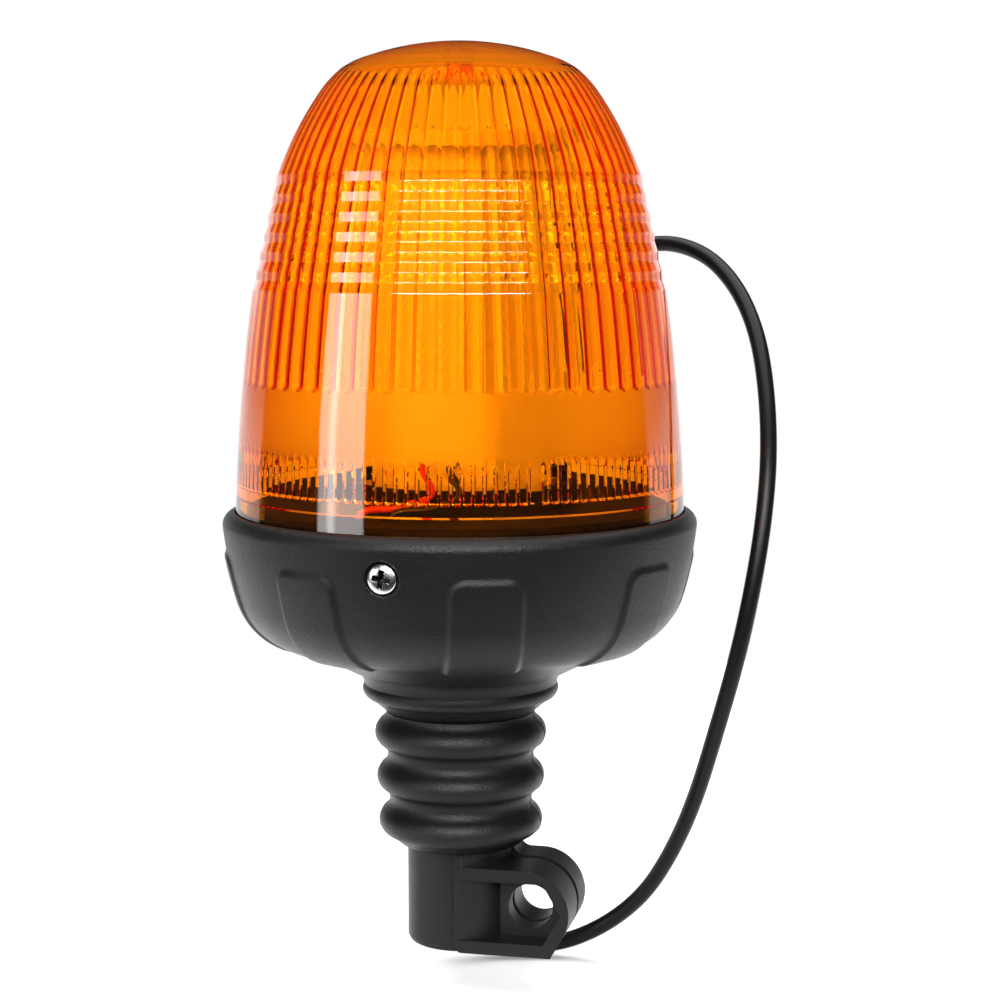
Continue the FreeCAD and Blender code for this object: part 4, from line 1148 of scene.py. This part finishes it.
def add_camera(settings):
    """Camera at the photograph's place and angle, with its focal length in pixels turned into a lens."""
    lens = bpy.data.cameras.new("camera")
    lens.sensor_width = SENSOR_WIDTH
    lens.lens = settings.focal_pixels / IMAGE_PIXELS * lens.sensor_width
    camera = add_object("camera", lens)
    camera.location = settings.camera_place
    aim = Vector(settings.camera_aim) - Vector(settings.camera_place)
    camera.rotation_euler = aim.to_track_quat("-Z", "Y").to_euler()
    bpy.context.scene.camera = camera


def band(field, low, high, soft):
    """1 between two limits given in degrees and 0 outside, with soft edges."""
    def rise(edge):
        low_end, high_end = math.radians(edge - soft), math.radians(edge + soft)
        sockets = {"Value": field, "From Min": low_end, "From Max": high_end}
        return field.node("ShaderNodeMapRange", {"interpolation_type": "SMOOTHSTEP"}, sockets)
    return rise(low) * (1 - rise(high))


def bearings(settings):
    """Level directions towards the camera and to its right."""
    toward = Vector(settings.camera_place) - Vector(settings.camera_aim)
    toward.z = 0
    toward.normalize()
    return toward, Vector((-toward.y, toward.x, 0))


def add_room(settings):
    """Dark studio with a tall light at the left, a wide one in front and a low white backdrop behind.

    The backdrop is dimmer at its sides for surfaces that mirror it, and the sky shows only through the lens.
    """
    world = bpy.data.worlds.new("studio")
    world.use_nodes = True
    tree = world.node_tree
    direction = Field(tree, tree.nodes.new("ShaderNodeTexCoord").outputs["Generated"])
    toward, right = bearings(settings)

    def share(axis):
        sockets = {0: direction, 1: axis}
        return direction.node("ShaderNodeVectorMath", {"operation": "DOT_PRODUCT"}, sockets, "Value")

    around = share(right).maths("ARCTAN2", share(right), share(toward))
    height = share(right).node("ShaderNodeMath", {"operation": "ARCSINE"}, {0: share(Vector((0, 0, 1)))})
    core = 0.6 + 0.6 * band(around, *STRIP_CORE, 2.0)
    strip = settings.strip_level * core * band(around, *STRIP_AROUND, 1.0) * band(height, *STRIP_HEIGHT, 1.5)
    front = settings.front_level * band(around, *FRONT_AROUND, 3.0) * band(height, *FRONT_HEIGHT, 1.0)
    low = band(height, *BACKDROP_HEIGHT, 5.0)
    seen, through, mirrored = (direction.node("ShaderNodeLightPath", None, None, f"Is {kind} Ray")
                               for kind in ("Camera", "Transmission", "Glossy"))
    rims = band(around, *RIGHT_RIM, 4.0) + band(around, *LEFT_RIM, 4.0)
    shaded = FLAG_SHADE * (1 - through) * band(around, *RIGHT_FLAG, 4.0) + RIM_SHADE * mirrored * rims
    shaded = shaded * (1 - band(height, *BELOW_FLAGS, 2.0))
    backdrop = (1 - band(around, *OPEN_AROUND, 2.0)) * low * (1 - shaded)
    glow = settings.glow_level * (1 - band(around, *OUTSIDE_GLOW, 12.0)) * band(height, *GLOW_HEIGHT, 3.0)
    overhead = settings.overhead_level * through * (1 - 0.8 * low)
    level = settings.room_level + strip + front + backdrop + glow + overhead
    feed(tree.nodes["Background"], "Strength", seen + (1 - seen) * level)
    tree.nodes["Background"].inputs["Color"].default_value = (1, 1, 1, 1)
    bpy.context.scene.world = world


def add_fill(name, place, width, height, power, through):
    """Soft light that faces the object, only for what lies behind the lens or only for what doesn't."""
    light = bpy.data.lights.new(name, "AREA")
    light.shape = "RECTANGLE"
    light.size = width
    light.size_y = height
    light.energy = power
    lamp = add_object(name, light)
    lamp.location = place
    lamp.rotation_euler = (FILL_AIM - Vector(place)).to_track_quat("-Z", "Y").to_euler()
    lamp.visible_glossy = not through
    lamp.visible_camera = False
    lamp.visible_transmission = through
    lamp.visible_diffuse = not through
    return lamp


def add_floor(settings):
    """Pale table top under the lowest point of the object, from just in front of it to far behind."""
    level = CAD_BOX[0].z - settings.floor_drop
    toward, right = bearings(settings)
    near = settings.floor_front * toward
    far = -settings.floor_back * toward
    aside = settings.floor_width / 2 * right
    corners = [near - aside, near + aside, far + aside, far - aside]
    mesh = bpy.data.meshes.new("floor")
    mesh.from_pydata([(corner.x, corner.y, level) for corner in corners], [], [(0, 1, 2, 3)])
    mesh.materials.append(plastic_finish("floor_paper", (0.88, 0.88, 0.88), 0.8))
    floor = add_object("floor", mesh)


class BEACON_OT_stage(bpy.types.Operator):
    """Set up the camera, the floor, the room and its lights"""

    bl_idname = "beacon.stage"
    bl_label = "Stage"

    def execute(self, context):
        settings = context.scene.beacon_stage
        add_camera(settings)
        add_room(settings)
        add_floor(settings)
        add_fill("front_fill", *FRONT_FILL, settings.front_fill, True)
        top_fill = add_fill("top_fill", *TOP_FILL, settings.top_fill, False)
        brow_fill = add_fill("brow_fill", *BROW_FILL, settings.brow_fill, False)
        outside = bpy.data.collections.new("outside_pieces")
        for lamp in (top_fill, brow_fill):
            lamp.light_linking.receiver_collection = outside
        outside.objects.link(bpy.data.objects["floor"])
        context.scene.view_settings.view_transform = "Standard"
        context.scene.cycles.max_bounces = 24
        context.scene.cycles.transmission_bounces = 20
        context.scene.cycles.diffuse_bounces = 4
        context.scene.cycles.glossy_bounces = 8
        context.scene.cycles.use_denoising = True
        return {"FINISHED"}


class BEACON_OT_cable(bpy.types.Operator):
    """Lay the supply cable and its bare cores"""

    bl_idname = "beacon.cable"
    bl_label = "Cable"

    def execute(self, context):
        make_cable(context.scene.beacon_hardware)
        return {"FINISHED"}


class BEACON_OT_lens(bpy.types.Operator):
    """Mould the amber lens"""

    bl_idname = "beacon.lens"
    bl_label = "Lens"

    def execute(self, context):
        make_lens(context.scene.beacon_lens)
        return {"FINISHED"}


class BEACON_OT_cup(bpy.types.Operator):
    """Mould the rubber cup"""

    bl_idname = "beacon.cup"
    bl_label = "Cup"

    def execute(self, context):
        make_cup(context.scene.beacon_rubber)
        return {"FINISHED"}


class BEACON_OT_neck(bpy.types.Operator):
    """Mould the ringed neck"""

    bl_idname = "beacon.neck"
    bl_label = "Neck"

    def execute(self, context):
        make_neck(context.scene.beacon_rubber)
        return {"FINISHED"}


class BEACON_OT_socket(bpy.types.Operator):
    """Round the edges of the clamp socket"""

    bl_idname = "beacon.socket"
    bl_label = "Socket"

    def execute(self, context):
        make_socket(context.scene.beacon_hardware)
        return {"FINISHED"}


class BEACON_OT_screws(bpy.types.Operator):
    """Turn the two cup screws"""

    bl_idname = "beacon.screws"
    bl_label = "Cup Screws"

    def execute(self, context):
        make_cup_screws(context.scene.beacon_hardware)
        return {"FINISHED"}


class BEACON_OT_inside(bpy.types.Operator):
    """Finish the light tower, the carrier, the driver board and the grommet"""

    bl_idname = "beacon.inside"
    bl_label = "Inside"

    def execute(self, context):
        inside = context.scene.beacon_inside
        hardware = context.scene.beacon_hardware
        rubber = context.scene.beacon_rubber
        dress(["led_tower", "tower_cap"], plastic_finish("tower_coat", inside.tower_colour, 0.45))
        dress([f"led_board_{number}" for number in range(1, 7)],
              board_finish("led_board_mask", inside.tower_colour, scaled(inside.tower_colour, 0.9)))
        dress(["leds"], phosphor_finish(inside.phosphor_colour))
        dress(["tower_screws", "cap_screw", "board_screws"],
              metal_finish("small_screw_steel", hardware.steel_colour, 0.25))
        dress(["base_carrier"], plastic_finish("carrier_plastic", inside.carrier_colour, 0.7, shine=0.15))
        dress(["screw_inserts"], metal_finish("insert_brass", (0.72, 0.52, 0.22), 0.25))
        dress(["lens_gasket", "cable_grommet"], rubber_finish("seal_rubber", rubber.colour, 0.0006))
        dress(["driver_board"], board_finish("driver_board_mask", inside.board_colour, (0.05, 0.26, 0.09)))
        dress(["driver_choke", "driver_chip"], plastic_finish("component_black", (0.03, 0.03, 0.032), 0.5))
        dress(["driver_capacitors"], metal_finish("capacitor_can", (0.7, 0.71, 0.73), 0.3))
        dress(["terminal_block"], plastic_finish("terminal_green", (0.03, 0.3, 0.08), 0.35))
        dress(["supply_lead_red", "tower_lead_red"], plastic_finish("lead_red", hardware.red_colour, 0.35))
        dress(["supply_lead_black", "tower_lead_black"],
              plastic_finish("lead_black", hardware.jacket_colour, 0.35))
        dress(["cable_tie"], plastic_finish("tie_nylon", (0.75, 0.73, 0.65), 0.4))
        for name in OUTSIDE_PIECES:
            bpy.data.collections["outside_pieces"].objects.link(bpy.data.objects[name])
        return {"FINISHED"}


class BEACON_PT_sidebar(bpy.types.Panel):
    """Lists the steps and what may be changed"""

    bl_label = "Beacon"
    bl_idname = "BEACON_PT_sidebar"
    bl_space_type = "VIEW_3D"
    bl_region_type = "UI"
    bl_category = "Beacon"

    def draw(self, context):
        for step in STEPS:
            self.layout.operator(step.bl_idname)
        for name in SETTINGS:
            group = getattr(context.scene, name)
            box = self.layout.box()
            for key in group.__annotations__:
                box.prop(group, key)


STEPS = (BEACON_OT_stage, BEACON_OT_cable, BEACON_OT_lens, BEACON_OT_cup, BEACON_OT_neck, BEACON_OT_socket,
         BEACON_OT_screws, BEACON_OT_inside)
SETTINGS = {"beacon_lens": BeaconLens, "beacon_rubber": BeaconRubber, "beacon_hardware": BeaconHardware,
            "beacon_inside": BeaconInside, "beacon_stage": BeaconStage}
CLASSES = (*SETTINGS.values(), *STEPS, BEACON_PT_sidebar)


def register():
    for item in CLASSES:
        bpy.utils.register_class(item)
    for name, group in SETTINGS.items():
        setattr(bpy.types.Scene, name, PointerProperty(type=group))


def unregister():
    for name in SETTINGS:
        delattr(bpy.types.Scene, name)
    for item in reversed(CLASSES):
        bpy.utils.unregister_class(item)


def main():
    """Builds everything in order."""
    register()
    bpy.ops.beacon.stage()
    bpy.ops.beacon.cable()
    bpy.ops.beacon.lens()
    bpy.ops.beacon.cup()
    bpy.ops.beacon.neck()
    bpy.ops.beacon.socket()
    bpy.ops.beacon.screws()
    bpy.ops.beacon.inside()


if __name__ == "__main__":
    main()
